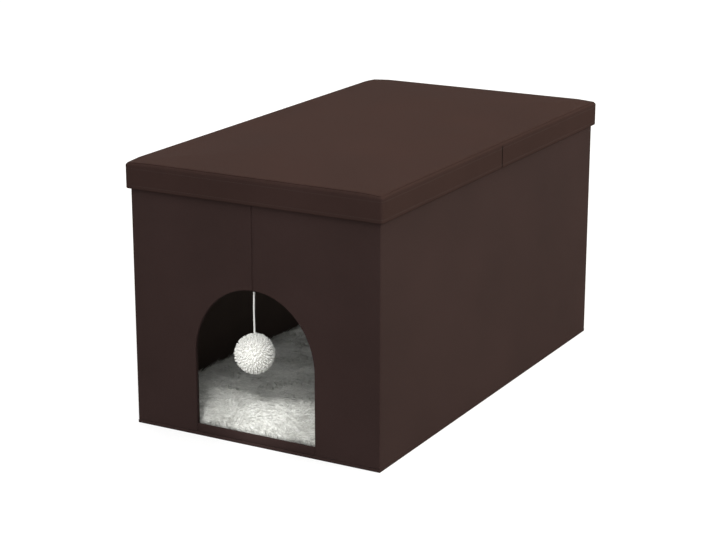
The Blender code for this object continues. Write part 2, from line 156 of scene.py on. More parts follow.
# %% World and floor
WORLD_LIGHT = 0.34
WORLD_COLOUR = (1.0, 0.99, 0.97, 1.0)
WHITE = (1.0, 1.0, 1.0, 1.0)
FLOOR_GREY = (0.26, 0.26, 0.26, 1.0)
FLOOR_GLOW = (0.80, 0.97)  # as far as FLOOR_NEAR, and from FLOOR_FAR metres away
FLOOR_NEAR, FLOOR_FAR = 0.6, 3.0
FLOOR_HALF = 7.0  # half its side
FLOOR_DROP = 0.0004  # the floor lies this far under the object


def studio_world():
    world = bpy.data.worlds.new("studio")
    bpy.context.scene.world = world
    world.use_nodes = True
    tree = world.node_tree
    tree.nodes.clear()
    path = add_node(tree, "ShaderNodeLightPath").outputs
    seen = sum_node(tree, "MAXIMUM", path["Is Camera Ray"], path["Is Glossy Ray"])
    seen = sum_node(tree, "MAXIMUM", seen, path["Is Transmission Ray"])
    light = add_node(tree, "ShaderNodeBackground", {"Color": WORLD_COLOUR, "Strength": WORLD_LIGHT})
    white = add_node(tree, "ShaderNodeBackground", {"Color": WHITE, "Strength": 1.0})
    mix = add_node(tree, "ShaderNodeMixShader", {"Fac": seen, 1: light.outputs[0], 2: white.outputs[0]})
    add_node(tree, "ShaderNodeOutputWorld", {"Surface": mix.outputs[0]})


def studio_floor():
    mesh = bpy.data.meshes.new("studio_floor")
    corners = [(x * FLOOR_HALF, y * FLOOR_HALF, -FLOOR_DROP)
               for x, y in ((-1, -1), (1, -1), (1, 1), (-1, 1))]
    mesh.from_pydata(corners, [], [(0, 1, 2, 3)])
    finish = bpy.data.materials.new("studio_floor")
    finish.use_nodes = True
    tree = finish.node_tree
    tree.nodes.clear()
    place = add_node(tree, "ShaderNodeTexCoord").outputs["Object"]
    away = add_node(tree, "ShaderNodeVectorMath", {0: place}, operation="LENGTH").outputs["Value"]
    spread = ramp_node(tree, away, FLOOR_NEAR, FLOOR_FAR, *FLOOR_GLOW)
    seen = add_node(tree, "ShaderNodeLightPath").outputs["Is Camera Ray"]
    paint = add_node(tree, "ShaderNodeBsdfDiffuse", {"Color": FLOOR_GREY})
    glow = add_node(tree, "ShaderNodeEmission", {"Strength": sum_node(tree, "MULTIPLY", seen, spread)})
    both = add_node(tree, "ShaderNodeAddShader", {0: paint.outputs[0], 1: glow.outputs[0]})
    add_node(tree, "ShaderNodeOutputMaterial", {"Surface": both.outputs[0]})
    mesh.materials.append(finish)
    add_object("studio_floor", mesh)


studio_world()
studio_floor()

# %% Lamps
OBJECT_MIDDLE = (0.0, 0.0, 0.2)
SILL_PLUSH = (0.0, -0.334, 0.032)  # the plush just behind the sill


def aimed_lamp(name, data, place, target):
    lamp = add_object(name, data)
    lamp.location = place
    lamp.rotation_euler = (Vector(target) - Vector(place)).to_track_quat("-Z", "Y").to_euler()
    return lamp


def soft_lamp(name, place, size, power, target=OBJECT_MIDDLE, tint=WHITE[:3]):
    """A square area lamp that looks at target."""
    data = bpy.data.lights.new(name, "AREA")
    data.shape = "SQUARE"
    data.size = size
    data.energy = power
    data.color = tint
    return aimed_lamp(name, data, place, target)


def snooted_lamp(name, place, power, target, reach):
    """A spot lamp whose soft cone has a radius of reach metres where it meets target."""
    data = bpy.data.lights.new(name, "SPOT")
    data.spot_size = 2 * math.atan(reach / (Vector(target) - Vector(place)).length)
    data.spot_blend = 1.0
    data.shadow_soft_size = 0.03
    data.energy = power
    return aimed_lamp(name, data, place, target)


soft_lamp("key_lamp", (0.5, -2.3, 3.2), 3.0, 84.0)
soft_lamp("front_lamp", (0.4, -3.6, 0.6), 1.2, 32.0)
soft_lamp("top_lamp", (0.0, 0.6, 3.4), 1.5, 36.0, (0.0, 0.0, 0.3), tint=(1.0, 0.82, 0.54))
soft_lamp("rear_lamp", (-3.1, 1.3, 0.9), 1.4, 55.0)
soft_lamp("side_lamp", (3.1, 0.5, 1.9), 1.6, 118.0, tint=(1.0, 0.98, 0.89))
snooted_lamp("doorway_lamp", (0.75, -2.79, 2.58), 390.0, SILL_PLUSH, 0.064)
inside_lamp = soft_lamp("inside_lamp", (0.0, 0.0, 0.345), 0.30, 0.20, (0.0, 0.0, 0.0))
inside_lamp.visible_camera = False

# %% [markdown]
# ## Finishes: shared effects
#
# An effect that several finishes need is built once as a node group, with its sizes as named
# inputs, and each finish then sets its own values. Three are needed here: the pebbled grain of
# leathercloth, the crossed threads or fibres of a cloth, and slow patches of lighter and darker
# colour. They read Object coordinates, which are metres here, so their sizes are real ones.

# %% Group helpers
FLOAT = "NodeSocketFloat"


def srgb(red, green, blue):
    """A colour as read from a picture, 0 to 255, as the linear values that Blender works in."""
    linear = []
    for value in (red, green, blue):
        c = value / 255.0
        linear.append(c / 12.92 if c <= 0.04045 else ((c + 0.055) / 1.055) ** 2.4)
    return (*linear, 1.0)


def new_group(name, inputs, outputs, kind="ShaderNodeTree"):
    """An empty node group. inputs and outputs are lists of (name, socket type, value)."""
    group = bpy.data.node_groups.new(name, kind)
    for in_out, sockets in (("INPUT", inputs), ("OUTPUT", outputs)):
        for socket_name, socket_type, value in sockets:
            socket = group.interface.new_socket(socket_name, in_out=in_out, socket_type=socket_type)
            if value is not None:
                socket.default_value = value
    return group, group.nodes.new("NodeGroupInput"), group.nodes.new("NodeGroupOutput")


def scaled_place(tree, millimetres):
    """Object coordinates divided by a size in millimetres, so that 1 is one cell of a pattern."""
    place = add_node(tree, "ShaderNodeTexCoord").outputs["Object"]
    return vector_node(tree, "SCALE", place, sum_node(tree, "DIVIDE", 1000.0, millimetres))


# %% Group: pebbled grain
def build_grain():
    """Pebbles with valleys between them. Valley is Depth in a valley, and Height falls by as much."""
    group, start, end = new_group("leathercloth_grain",
                                  [("Pebble mm", FLOAT, 1.0), ("Depth", FLOAT, 1.0)],
                                  [("Height", FLOAT, None), ("Valley", FLOAT, None)])
    place = scaled_place(group, start.outputs["Pebble mm"])
    bent = add_node(group, "ShaderNodeTexNoise", {"Vector": place, "Scale": 0.55, "Detail": 2.0})
    shift = vector_node(group, "MULTIPLY", bent.outputs["Color"], (0.9, 0.9, 0.9))
    where = vector_node(group, "ADD", place, shift)
    cells = add_node(group, "ShaderNodeTexVoronoi", {"Vector": where, "Scale": 1.0, "Randomness": 0.9},
                     feature="DISTANCE_TO_EDGE")
    valley = ramp_node(group, cells.outputs["Distance"], 0.0, 0.22, 1.0, 0.0,
                       interpolation_type="SMOOTHSTEP")
    creases = add_node(group, "ShaderNodeTexNoise", {"Vector": place, "Scale": 0.12, "Detail": 6.0})
    depth = sum_node(group, "MULTIPLY", valley, start.outputs["Depth"])
    height = sum_node(group, "SUBTRACT", creases.outputs["Fac"], depth)
    group.links.new(height, end.inputs["Height"])
    group.links.new(depth, end.inputs["Valley"])
    return group


# %% Group: fibres
def build_fibres():
    """Fine fibres that lie in every direction, as in felt, plush or pressed board."""
    inputs = [("Fibre mm", FLOAT, 1.0), ("Stretch", "NodeSocketVector", (1.0, 1.0, 1.0))]
    group, start, end = new_group("fibres", inputs, [("Height", FLOAT, None)])
    place = scaled_place(group, start.outputs["Fibre mm"])
    drawn = vector_node(group, "MULTIPLY", place, start.outputs["Stretch"])
    fine = add_node(group, "ShaderNodeTexNoise",
                    {"Vector": drawn, "Scale": 1.0, "Detail": 5.0, "Roughness": 0.62, "Distortion": 1.4})
    group.links.new(fine.outputs["Fac"], end.inputs["Height"])
    return group


# %% Group: slow patches
def build_patches():
    """Large soft patches, from 0 to 1, for a colour that isn't quite even."""
    group, start, end = new_group("slow_patches", [("Patch mm", FLOAT, 100.0)], [("Mask", FLOAT, None)])
    place = scaled_place(group, start.outputs["Patch mm"])
    cloud = add_node(group, "ShaderNodeTexNoise", {"Vector": place, "Scale": 1.0, "Detail": 3.0})
    group.links.new(ramp_node(group, cloud.outputs["Fac"], 0.3, 0.7), end.inputs["Mask"])
    return group


GRAIN = build_grain()
FIBRES = build_fibres()
PATCHES = build_patches()


# %% Finish helpers
SHADER_LEVELS = {"gloss": "Specular IOR Level", "sheen": "Sheen Weight", "sheen_spread": "Sheen Roughness"}


def group_node(tree, group, links):
    return add_node(tree, "ShaderNodeGroup", links, node_tree=group)


def new_finish(name, roughness, **levels):
    """A material with a Principled shader, its tree and the shader. levels are of SHADER_LEVELS."""
    finish = bpy.data.materials.new(name)
    finish.use_nodes = True
    shader = finish.node_tree.nodes["Principled BSDF"]
    shader.inputs["Roughness"].default_value = roughness
    for level, value in levels.items():
        shader.inputs[SHADER_LEVELS[level]].default_value = value
    return finish, finish.node_tree, shader


def mix_colours(tree, share, first, second):
    """first where share is 0 and second where it is 1. A Mix node's colours are its sockets 6 and 7."""
    return add_node(tree, "ShaderNodeMix", {0: share, 6: first, 7: second}, data_type="RGBA").outputs[2]


def raise_surface(tree, shader, height, millimetres):
    """Bump: height, from 0 to 1, stands for this many millimetres."""
    bump = add_node(tree, "ShaderNodeBump",
                    {"Height": height, "Distance": millimetres / 1000.0, "Strength": 1.0})
    tree.links.new(bump.outputs[0], shader.inputs["Normal"])


# %% [markdown]
# ## Finishes: leathercloth
#
# The box is covered in a soft plastic leathercloth, dark brown, with a fine pebble. Its colour is
# a shade lighter on the pebbles than in the valleys, and changes slowly from place to place.
# The gloss is low and uneven, which is what makes it read as leathercloth rather than paint.
# The lid's is nearly matt. In its band's seam a darker copy of the cloth is painted shade for the seam's
# valley.

# %% Leathercloth
PEBBLE_MM, PEBBLE_BUMP_MM, COLOUR_PATCH_MM = 1.1, 0.10, 120.0
VALLEY_SHADE = 0.6  # a valley's colour, as a share of the dark one
VALLEY_SHARE = 0.35  # how much of it is mixed in


def make_leathercloth(name, light, dark, gloss):
    finish, tree, shader = new_finish(name, 0.5, gloss=gloss)
    grain = group_node(tree, GRAIN, {"Pebble mm": PEBBLE_MM, "Depth": 1.0}).outputs
    patches = group_node(tree, PATCHES, {"Patch mm": COLOUR_PATCH_MM}).outputs["Mask"]
    valley = sum_node(tree, "MULTIPLY", grain["Valley"], VALLEY_SHARE)
    deep = (*[c * VALLEY_SHADE for c in dark[:3]], 1.0)
    shade = mix_colours(tree, valley, mix_colours(tree, patches, dark, light), deep)
    tree.links.new(shade, shader.inputs["Base Color"])
    tree.links.new(ramp_node(tree, patches, 0.0, 1.0, 0.62, 0.72), shader.inputs["Roughness"])
    raise_surface(tree, shader, grain["Height"], PEBBLE_BUMP_MM)
    return finish


LEATHERCLOTH = make_leathercloth("brown_leathercloth", srgb(59, 45, 43), srgb(54, 41, 39), 0.03)
LID_CLOTH = make_leathercloth("lid_leathercloth", srgb(60, 45, 42), srgb(55, 41, 38), 0.005)
# A darker copy of the lid's cloth: painted shade for the valley of the band's seam.
SEAM_SHADE_CLOTH = make_leathercloth("seam_painted_shade_leathercloth", srgb(37, 28, 26), srgb(33, 25, 23), 0.005)

# %% [markdown]
# ## Finishes: cloth, board, foam, plush and yarn
#
# Inside, the box is lined with a thin felted cloth with a stamped grid of tiny dots.
# The boards are pressed wood fibre, the foam is full of small cells, and the plush and the yarn
# are nearly white. Sheen stands for the light that loose white fibres catch along their edges.

# %% Lining cloth
def make_lining():
    finish, tree, shader = new_finish("black_lining", 0.92, gloss=0.2)
    fibres = group_node(tree, FIBRES, {"Fibre mm": 0.9}).outputs["Height"]
    patches = group_node(tree, PATCHES, {"Patch mm": 60.0}).outputs["Mask"]
    shade = mix_colours(tree, patches, srgb(63, 53, 47), srgb(69, 58, 52))
    tree.links.new(shade, shader.inputs["Base Color"])
    dots = add_node(tree, "ShaderNodeTexVoronoi",
                    {"Vector": scaled_place(tree, 2.2), "Scale": 1.0, "Randomness": 0.0})
    dent = ramp_node(tree, dots.outputs["Distance"], 0.25, 0.45)
    raise_surface(tree, shader, sum_node(tree, "ADD", dent, fibres), 0.12)
    return finish


# %% Board, thread and yarn
def make_fibrous(name, roughness, fibre_mm, dark, light, bump_mm, **levels):
    """A finish of fibres, lighter where a fibre lies on top of others."""
    finish, tree, shader = new_finish(name, roughness, **levels)
    fibres = group_node(tree, FIBRES, {"Fibre mm": fibre_mm}).outputs["Height"]
    tree.links.new(mix_colours(tree, fibres, dark, light), shader.inputs["Base Color"])
    if bump_mm:
        raise_surface(tree, shader, fibres, bump_mm)
    return finish


HARDBOARD = make_fibrous("pressed_hardboard", 0.8, 1.6, srgb(126, 92, 60), srgb(176, 138, 98), 0.15)
THREAD = make_fibrous("brown_thread", 0.7, 0.25, srgb(40, 28, 25), srgb(62, 46, 41), 0.0)
YARN = make_fibrous("white_yarn", 0.9, 0.5, srgb(228, 228, 223), srgb(247, 247, 244), 0.25,
                    gloss=0.2, sheen=0.2)


# %% Foam
def make_foam():
    finish, tree, shader = new_finish("seat_foam", 0.95)
    cells = add_node(tree, "ShaderNodeTexVoronoi", {"Vector": scaled_place(tree, 1.4), "Scale": 1.0})
    shade = mix_colours(tree, cells.outputs["Distance"], srgb(214, 206, 178), srgb(238, 232, 208))
    tree.links.new(shade, shader.inputs["Base Color"])
    raise_surface(tree, shader, cells.outputs["Distance"], 0.4)
    return finish


# %% Plush
LONG_IN_X = (0.30, 1.0, 1.0)  # the pile is brushed across the cushion


def make_plush():
    """Fine streaks inside broader clumps, darker where the pile lies apart: painted shade between its locks.
    """
    finish, tree, shader = new_finish("white_plush", 0.95, gloss=0.15, sheen=0.25, sheen_spread=0.6)
    streaks, clumps = [group_node(tree, FIBRES, {"Fibre mm": size, "Stretch": LONG_IN_X}).outputs["Height"]
                       for size in (3.2, 10.0)]
    both = sum_node(tree, "MULTIPLY", ramp_node(tree, streaks, 0.32, 0.62),
                    ramp_node(tree, clumps, 0.36, 0.56, 0.25))
    # The darker colour is painted shade in the gaps of the pile, not a darker fibre.
    shade = mix_colours(tree, both, srgb(190, 190, 184), srgb(246, 247, 242))
    tree.links.new(shade, shader.inputs["Base Color"])
    raise_surface(tree, shader, streaks, 0.7)
    return finish


LINING = make_lining()
FOAM = make_foam()
PLUSH = make_plush()

# %% [markdown]
# ## Finishes on the rigid model
#
# Nodes whose shape is already right keep their mesh and only get a better material.
# Every node gets one, also those that hide inside a panel, because the panels come apart.

# %% Dress the rigid nodes
FINISH_OF_SLOT = {
    "leathercloth": LEATHERCLOTH,
    "hardboard": HARDBOARD,
    "lining_cloth": LINING,
    "foam": FOAM,
    "plush": PLUSH,
    "yarn": YARN,
}
slot_of_node = {part["node"]: part["material_slot"] for part in frame["record"]["subparts"]}
for node_name, node in nodes.items():
    node.data.materials.clear()
    node.data.materials.append(FINISH_OF_SLOT[slot_of_node[node_name]])
print("dressed", len(nodes), "rigid nodes")

# %% [markdown]
# ## Panel covers
#
# Each panel's cover is a shallow tray of cloth: flat on the outside, rolled over the edge of the
# board, and turned in towards the lining. A tray is a loft, which is a skin through rings of
# points. Every ring is the panel's outline drawn in by a little and set back by a little, so
# an outline here is a list of points, each with the direction in which it moves inwards.

# %% Sizes read from the rigid model
wall_low, wall_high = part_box("left_side_cover")
right_low, right_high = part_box("right_side_cover")
BOX_X = right_high.x  # half the width over the walls
BOX_Y = wall_high.y  # half the length over the walls
INNER_X = right_low.x  # half the width between the walls
FOOT_Z, TOP_Z = wall_low.z, wall_high.z
PANEL = BOX_X - INNER_X  # thickness of a finished panel
FACE_PITCH = 0.018  # a flat face has a row of points at about this pitch
CLOTH = 0.0008  # its thickness
EDGE_ROLL = 0.0016  # radius of the cloth over a half end's edge
SIDE_ROLL = EDGE_ROLL * 0.5
BASE_ROLL = 0.0005
CORNER_WRAP = 0.0030  # how far a half end's cover goes round onto the side
CREASE_HALF_GAP = 0.0009
FOOT_ROLL = 0.4  # along the floor the roll is this share of that
WRAP_INSIDE, WRAP_OUTSIDE = INNER_X - 0.0030, INNER_X + 0.0004  # between these a tray thins to the wrap
CORNER_GAP = 0.0004  # between a half end without a wrap and its side
DOOR_HALF_WIDTH = 0.0962
DOOR_SPRING_Z = 0.1210  # the arch starts here
DOOR_RISE = 0.1055  # and is half an ellipse of this height
DOOR_STEPS = 40
print(f"panels are {PANEL * 1000:.1f} mm thick and {(TOP_Z - FOOT_Z) * 1000:.0f} mm high")


# %% Mesh helpers
def finish_mesh(name, bm, finish, smooth_degrees=45.0):
    """Turns bm into an object with one material, smooth except over edges sharper than the angle."""
    bmesh.ops.recalc_face_normals(bm, faces=bm.faces)
    mesh = bpy.data.meshes.new(name)
    bm.to_mesh(mesh)
    bm.free()
    mesh.shade_smooth()
    mesh.set_sharp_from_angle(angle=math.radians(smooth_degrees))
    mesh.materials.append(finish)
    return add_object(name, mesh)


def loft(rings, cap=True):
    """A skin through rings that all have the same number of points, closed at both ends."""
    bm = bmesh.new()
    made = [[bm.verts.new(point) for point in ring] for ring in rings]
    count = len(made[0])
    for ring_a, ring_b in zip(made, made[1:]):
        for i in range(count):
            j = (i + 1) % count
            bm.faces.new((ring_a[i], ring_a[j], ring_b[j], ring_b[i]))
    if cap:
        bm.faces.new(made[0][::-1])
        bm.faces.new(made[-1])
    return bm


def cut_columns(bm, axis, places):
    """Cuts the mesh across an axis at each place, so that it has points to bend or wave at."""
    normal = Vector((0, 0, 0))
    normal["xyz".index(axis)] = 1.0
    for place in places:
        bmesh.ops.bisect_plane(bm, geom=bm.verts[:] + bm.edges[:] + bm.faces[:], dist=1e-6,
                               plane_co=normal * place, plane_no=normal)


def steps(low, high, pitch):
    """Evenly spread places between low and high, about pitch apart, without the ends."""
    count = max(1, round((high - low) / pitch))
    return [low + (high - low) * i / count for i in range(1, count)]


# %% Panel outlines
def side_outline(rear_end):
    """A side panel from behind the front corner's wrap to rear_end, as (u, v, inward u, inward v)."""
    front_end = -BOX_Y + CORNER_WRAP
    return [(front_end, FOOT_Z, 1, 1), (rear_end, FOOT_Z, -1, 1), (rear_end, TOP_Z, -1, -1),
            (front_end, TOP_Z, 1, -1)]


def base_outline():
    return [(-BOX_X, -BOX_Y, 1, 1), (BOX_X, -BOX_Y, -1, 1), (BOX_X, BOX_Y, -1, -1),
            (-BOX_X, BOX_Y, 1, -1)]


def half_end_outline(side, door, wraps):
    """Half an end. side is -1 or +1, door cuts the arch, wraps takes the cloth round the corner."""
    near, far = CREASE_HALF_GAP, BOX_X if wraps else INNER_X - CORNER_GAP
    points = [(near, TOP_Z, 1, -1)]
    if door:
        start = math.acos(near / DOOR_HALF_WIDTH)
        points.append((near, DOOR_SPRING_Z + DOOR_RISE * math.sin(start), 1, 1))
        for i in range(1, DOOR_STEPS + 1):
            turn = start * (1 - i / DOOR_STEPS)
            across, up = math.cos(turn) / DOOR_HALF_WIDTH, math.sin(turn) / DOOR_RISE
            size = math.hypot(across, up)
            points.append((DOOR_HALF_WIDTH * math.cos(turn),
                           DOOR_SPRING_Z + DOOR_RISE * math.sin(turn), across / size, up / size))
        points.append((DOOR_HALF_WIDTH, FOOT_Z, 1, 1))
    else:
        points.append((near, FOOT_Z, 1, 1))
    if wraps:
        points += [(WRAP_INSIDE, FOOT_Z, 0, 1), (WRAP_OUTSIDE, FOOT_Z, 0, 1)]
    points += [(far, FOOT_Z, -1, 1), (far, TOP_Z, -1, -1)]
    if wraps:
        points += [(WRAP_OUTSIDE, TOP_Z, 0, -1), (WRAP_INSIDE, TOP_Z, 0, -1)]
    return [(side * u, v, side * nu, nv) for u, v, nu, nv in points]


# %% The tray itself
def cover_rings(outline, place, roll, thickness, wraps=False, tight_foot=True):
    """The rings of a tray. place(u, v, depth) puts a point in space, depth behind the outer face."""
    profile = [(roll + 0.0010, 0.0), (roll, 0.0)]
    for i in range(1, 6):
        turn = math.radians(90 * i / 5)
        profile.append((roll * (1 - math.sin(turn)), roll * (1 - math.cos(turn))))
    back = len(profile)
    profile += [(0.0, thickness - 0.0003), (0.0003, thickness), (CLOTH, thickness), (CLOTH, CLOTH),
                (roll + 0.0010, CLOTH)]
    rings = []
    for i, (inset, depth) in enumerate(profile):
        ring = []
        for u, v, nu, nv in outline:
            tight_v = FOOT_ROLL if tight_foot and v < FOOT_Z + 0.0001 and i < back else 1.0
            on_wrap = wraps and abs(u) > INNER_X and depth > CORNER_WRAP
            ring.append(place(u + nu * inset, v + nv * inset * tight_v,
                              CORNER_WRAP if on_wrap else depth))
        rings.append(ring)
    return rings


WAVE = 0.00016  # glued cloth wanders by a sixth of a millimetre


def wave_face(bm, axis, outer):
    """Lets the large flat face at outer wander inwards a little."""
    index = "xyz".index(axis)
    for vert in bm.verts:
        if abs(vert.co[index] - outer) < 1e-6:
            vert.co[index] -= math.copysign(WAVE, outer) * (0.5 + 0.5 * noise.noise(vert.co * 16.0))


def end_cover(name, end, side, door, wraps, body, replaced):
    """The cover of a half end. end is -1 at the front and +1 at the rear."""
    def place(u, v, depth):
        return (u, end * (BOX_Y - depth), v)

    bm = loft(cover_rings(half_end_outline(side, door, wraps), place, EDGE_ROLL, PANEL, wraps))
    cut_columns(bm, "x", [side * x for x in steps(0.0, INNER_X - 0.008, 0.016)])
    cut_columns(bm, "z", steps(FOOT_Z, TOP_Z, FACE_PITCH))
    if wraps:
        cut_columns(bm, "x", [side * x for x in steps(INNER_X - 0.0075, INNER_X + 0.0045, 0.0010)])
    wave_face(bm, "y", end * BOX_Y)
    piece = finish_mesh(name, bm, LEATHERCLOTH)
    if wraps:
        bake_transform(piece)
    else:
        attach(piece, body)
    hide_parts(replaced)


def side_cover(name, side, rear_end, body, replaced):
    def place(u, v, depth):
        return (side * (BOX_X - depth), u, v)

    bm = loft(cover_rings(side_outline(rear_end), place, SIDE_ROLL, PANEL))
    cut_columns(bm, "y", steps(-BOX_Y, BOX_Y, FACE_PITCH))
    cut_columns(bm, "z", steps(FOOT_Z, TOP_Z, FACE_PITCH))
    wave_face(bm, "x", side * BOX_X)
    piece = finish_mesh(name, bm, LEATHERCLOTH)
    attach(piece, body)
    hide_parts(replaced)


end_cover("front_left_skin", -1, -1, True, True, "front_left_half", "front_left_cover")
end_cover("front_right_skin", -1, 1, True, True, "front_right_half", "front_right_cover")
end_cover("rear_left_skin", 1, -1, False, True, "rear_left_half", "rear_left_cover")
end_cover("rear_right_skin", 1, 1, False, False, "rear_right_half", "rear_right_cover")
side_cover("left_side_skin", -1, BOX_Y - CORNER_WRAP, "base_and_left_side", "left_side_cover")
side_cover("right_side_skin", 1, BOX_Y, "right_side", "right_side_cover")


def base_cover():
    """The base is a tray too, open upwards, with its outer face on the floor."""
    low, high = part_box("base_cover")

    def place(u, v, depth):
        return (u, v, low.z + depth)

    rings = cover_rings(base_outline(), place, BASE_ROLL, high.z - low.z, tight_foot=False)
    piece = finish_mesh("base_skin", loft(rings), LEATHERCLOTH)
    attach(piece, "base_and_left_side")
    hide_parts("base_cover")


base_cover()

# %% [markdown]
# ## Sewing thread, by Geometry Nodes
#
# A row of stitches repeats one small shape along a line, which is what Geometry Nodes are for.
# The tree walks along the line at an even pitch, and sets down a rounded bead turned along it.
# The result is turned into a plain mesh, so nothing is left to work out when the part is used.

# %% Geometry tree helpers
GEOMETRY = ("Geometry", "NodeSocketGeometry", None)


def new_tree(name, inputs):
    """A geometry tree with a geometry in and out. inputs is a list of (name, socket type, value)."""
    return new_group(name, [GEOMETRY, *inputs], [GEOMETRY], "GeometryNodeTree")


def end_tree(tree, geometry, end, finish, host=None):
    """Adds the host, makes real mesh of instances, smooths it, gives it its finish and hands it out."""
    if host is not None:
        both = add_node(tree, "GeometryNodeJoinGeometry", {0: geometry})
        tree.links.new(host, both.inputs[0])
        geometry = both.outputs[0]
    real = add_node(tree, "GeometryNodeRealizeInstances", {"Geometry": geometry})
    smooth = add_node(tree, "GeometryNodeSetShadeSmooth", {"Geometry": real.outputs[0]})
    dressed = add_node(tree, "GeometryNodeSetMaterial", {"Geometry": smooth.outputs[0], "Material": finish})
    tree.links.new(dressed.outputs[0], end.inputs["Geometry"])


def evaluated_mesh(piece):
    """A plain copy of the piece's mesh as its modifiers leave it."""
    bpy.context.view_layer.update()
    evaluated = piece.evaluated_get(bpy.context.evaluated_depsgraph_get())
    return bpy.data.meshes.new_from_object(evaluated)


def grow(name, host, tree):
    """Runs a tree on host and returns its result as a new object with a plain mesh. host goes."""
    host.modifiers.new(tree.name, "NODES").node_group = tree
    mesh = evaluated_mesh(host)
    mesh.name = name
    bpy.data.objects.remove(host)
    return add_object(name, mesh)


# %% The stitch tree
STITCH_SEGMENTS, STITCH_RINGS = 6, 4


def build_stitches():
    tree, start, end = new_tree("stitch_row", [("Pitch", FLOAT, 0.0042), ("Stitch length", FLOAT, 0.0029),
                                               ("Thread width", FLOAT, 0.0005)])
    values = start.outputs
    line = add_node(tree, "GeometryNodeMeshToCurve", {"Mesh": values["Geometry"]})
    places = add_node(tree, "GeometryNodeCurveToPoints",
                      {"Curve": line.outputs[0], "Length": values["Pitch"]}, mode="LENGTH")
    bead = add_node(tree, "GeometryNodeMeshUVSphere",
                    {"Segments": STITCH_SEGMENTS, "Rings": STITCH_RINGS, "Radius": 0.5})
    along = add_node(tree, "FunctionNodeAlignRotationToVector",
                     {"Vector": places.outputs["Tangent"]}, axis="X")
    width = values["Thread width"]
    size = add_node(tree, "ShaderNodeCombineXYZ", {"X": values["Stitch length"], "Y": width, "Z": width})
    beads = add_node(tree, "GeometryNodeInstanceOnPoints",
                     {"Points": places.outputs["Points"], "Instance": bead.outputs["Mesh"],
                      "Rotation": along.outputs[0], "Scale": size.outputs[0]})
    end_tree(tree, beads.outputs[0], end, THREAD)
    return tree


def stitch_line(name, loops, body):
    """Stitches along closed loops of points."""
    mesh = bpy.data.meshes.new(name)
    points, edges = [], []
    for loop in loops:
        first, count = len(points), len(loop)
        points += loop
        edges += [(first + i, first + (i + 1) % count) for i in range(count)]
    mesh.from_pydata(points, edges, [])
    piece = grow(name, add_object(name, mesh), build_stitches())
    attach(piece, body)
    print(name, "has", len(piece.data.polygons) // (STITCH_SEGMENTS * STITCH_RINGS), "stitches")


# %% [markdown]
# ## Lid
#
# The lid is a padded top sewn to a deep band that drops over the walls. Its edge is soft, because
# foam lies under it. It is a loft again, from the hem inside the band, down, out, up and over to the
# middle. The seam between top and band is a groove in the rounded edge, with a row of stitches
# below it that holds the seam flat. A second row holds the hem. The band is two lengths of cloth,
# joined halfway along each long side, and a darker copy of the cloth in that seam is painted shade.

# %% Lid sizes
lid_low, lid_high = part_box("lid_cover")
LID_X, LID_Y, LID_FOOT = lid_high.x, lid_high.y, lid_low.z
LID_CROWN = 0.0035
LID_EDGE_TOP = lid_high.z - LID_CROWN
LID_EDGE_RADIUS = 0.006
BAND_TOP = LID_EDGE_TOP - LID_EDGE_RADIUS
LID_CORNER = 0.005
LID_SKIRT = 0.0040  # thickness of the band
SEAM_TURN = 46.0  # degrees up the rounded edge at which the top's seam lies
SEAM_GROOVE, SEAM_RIDGE = 0.0009, 0.0002
HEM_STITCH_Z = LID_FOOT + 0.0052
TOP_STITCH_Z = LID_EDGE_TOP - 0.0100
STITCH_DIP = 0.00006  # how far a row of stitches draws the cloth in
DIP_HALF = 0.0012  # and how far to each side
LID_TURNED_UP = 0.0085  # height of the hem that is turned up inside the band
print(f"lid: {LID_X * 2000:.0f} x {LID_Y * 2000:.0f} mm, "
      f"band {(LID_EDGE_TOP - LID_FOOT) * 1000:.1f} mm deep")


# %% Rounded rectangles with many points
def rounded_ring(half_x, half_y, corner, z, across=30, along=54, corner_steps=7, pull=0.0):
    """Points round a rounded rectangle. pull draws each side in between its corners."""
    corner = max(min(corner, half_x, half_y), 0.0006)
    corners = []
    for sx, sy, start in ((1, 1, 0), (-1, 1, 90), (-1, -1, 180), (1, -1, 270)):
        for i in range(corner_steps + 1):
            turn = math.radians(start + 90 * i / corner_steps)
            corners.append((sx * (half_x - corner) + corner * math.cos(turn),
                            sy * (half_y - corner) + corner * math.sin(turn)))
    points = []
    for i, (x, y) in enumerate(corners):
        points.append(Vector((x, y, z)))
        if i % (corner_steps + 1) == corner_steps:
            next_x, next_y = corners[(i + 1) % len(corners)]
            count = across if abs(next_x - x) > abs(next_y - y) else along
            for s in range(1, count):
                share = s / count
                sag = pull * math.sin(math.pi * share)
                px, py = x + (next_x - x) * share, y + (next_y - y) * share
                if count == across:
                    py -= math.copysign(sag, py)
                else:
                    px -= math.copysign(sag, px)
                points.append(Vector((px, py, z)))
    return points


def lid_ring(inset, z):
    return rounded_ring(LID_X - inset, LID_Y - inset, LID_CORNER - inset, z)


# %% Lid cover
def soft_step(low, high, value):
    share = min(max((value - low) / (high - low), 0.0), 1.0)
    return share * share * (3 - 2 * share)


def dip(distance, half_width):
    """1 at distance 0, falling smoothly to 0 at half_width."""
    return 1.0 - soft_step(0.0, half_width, abs(distance))


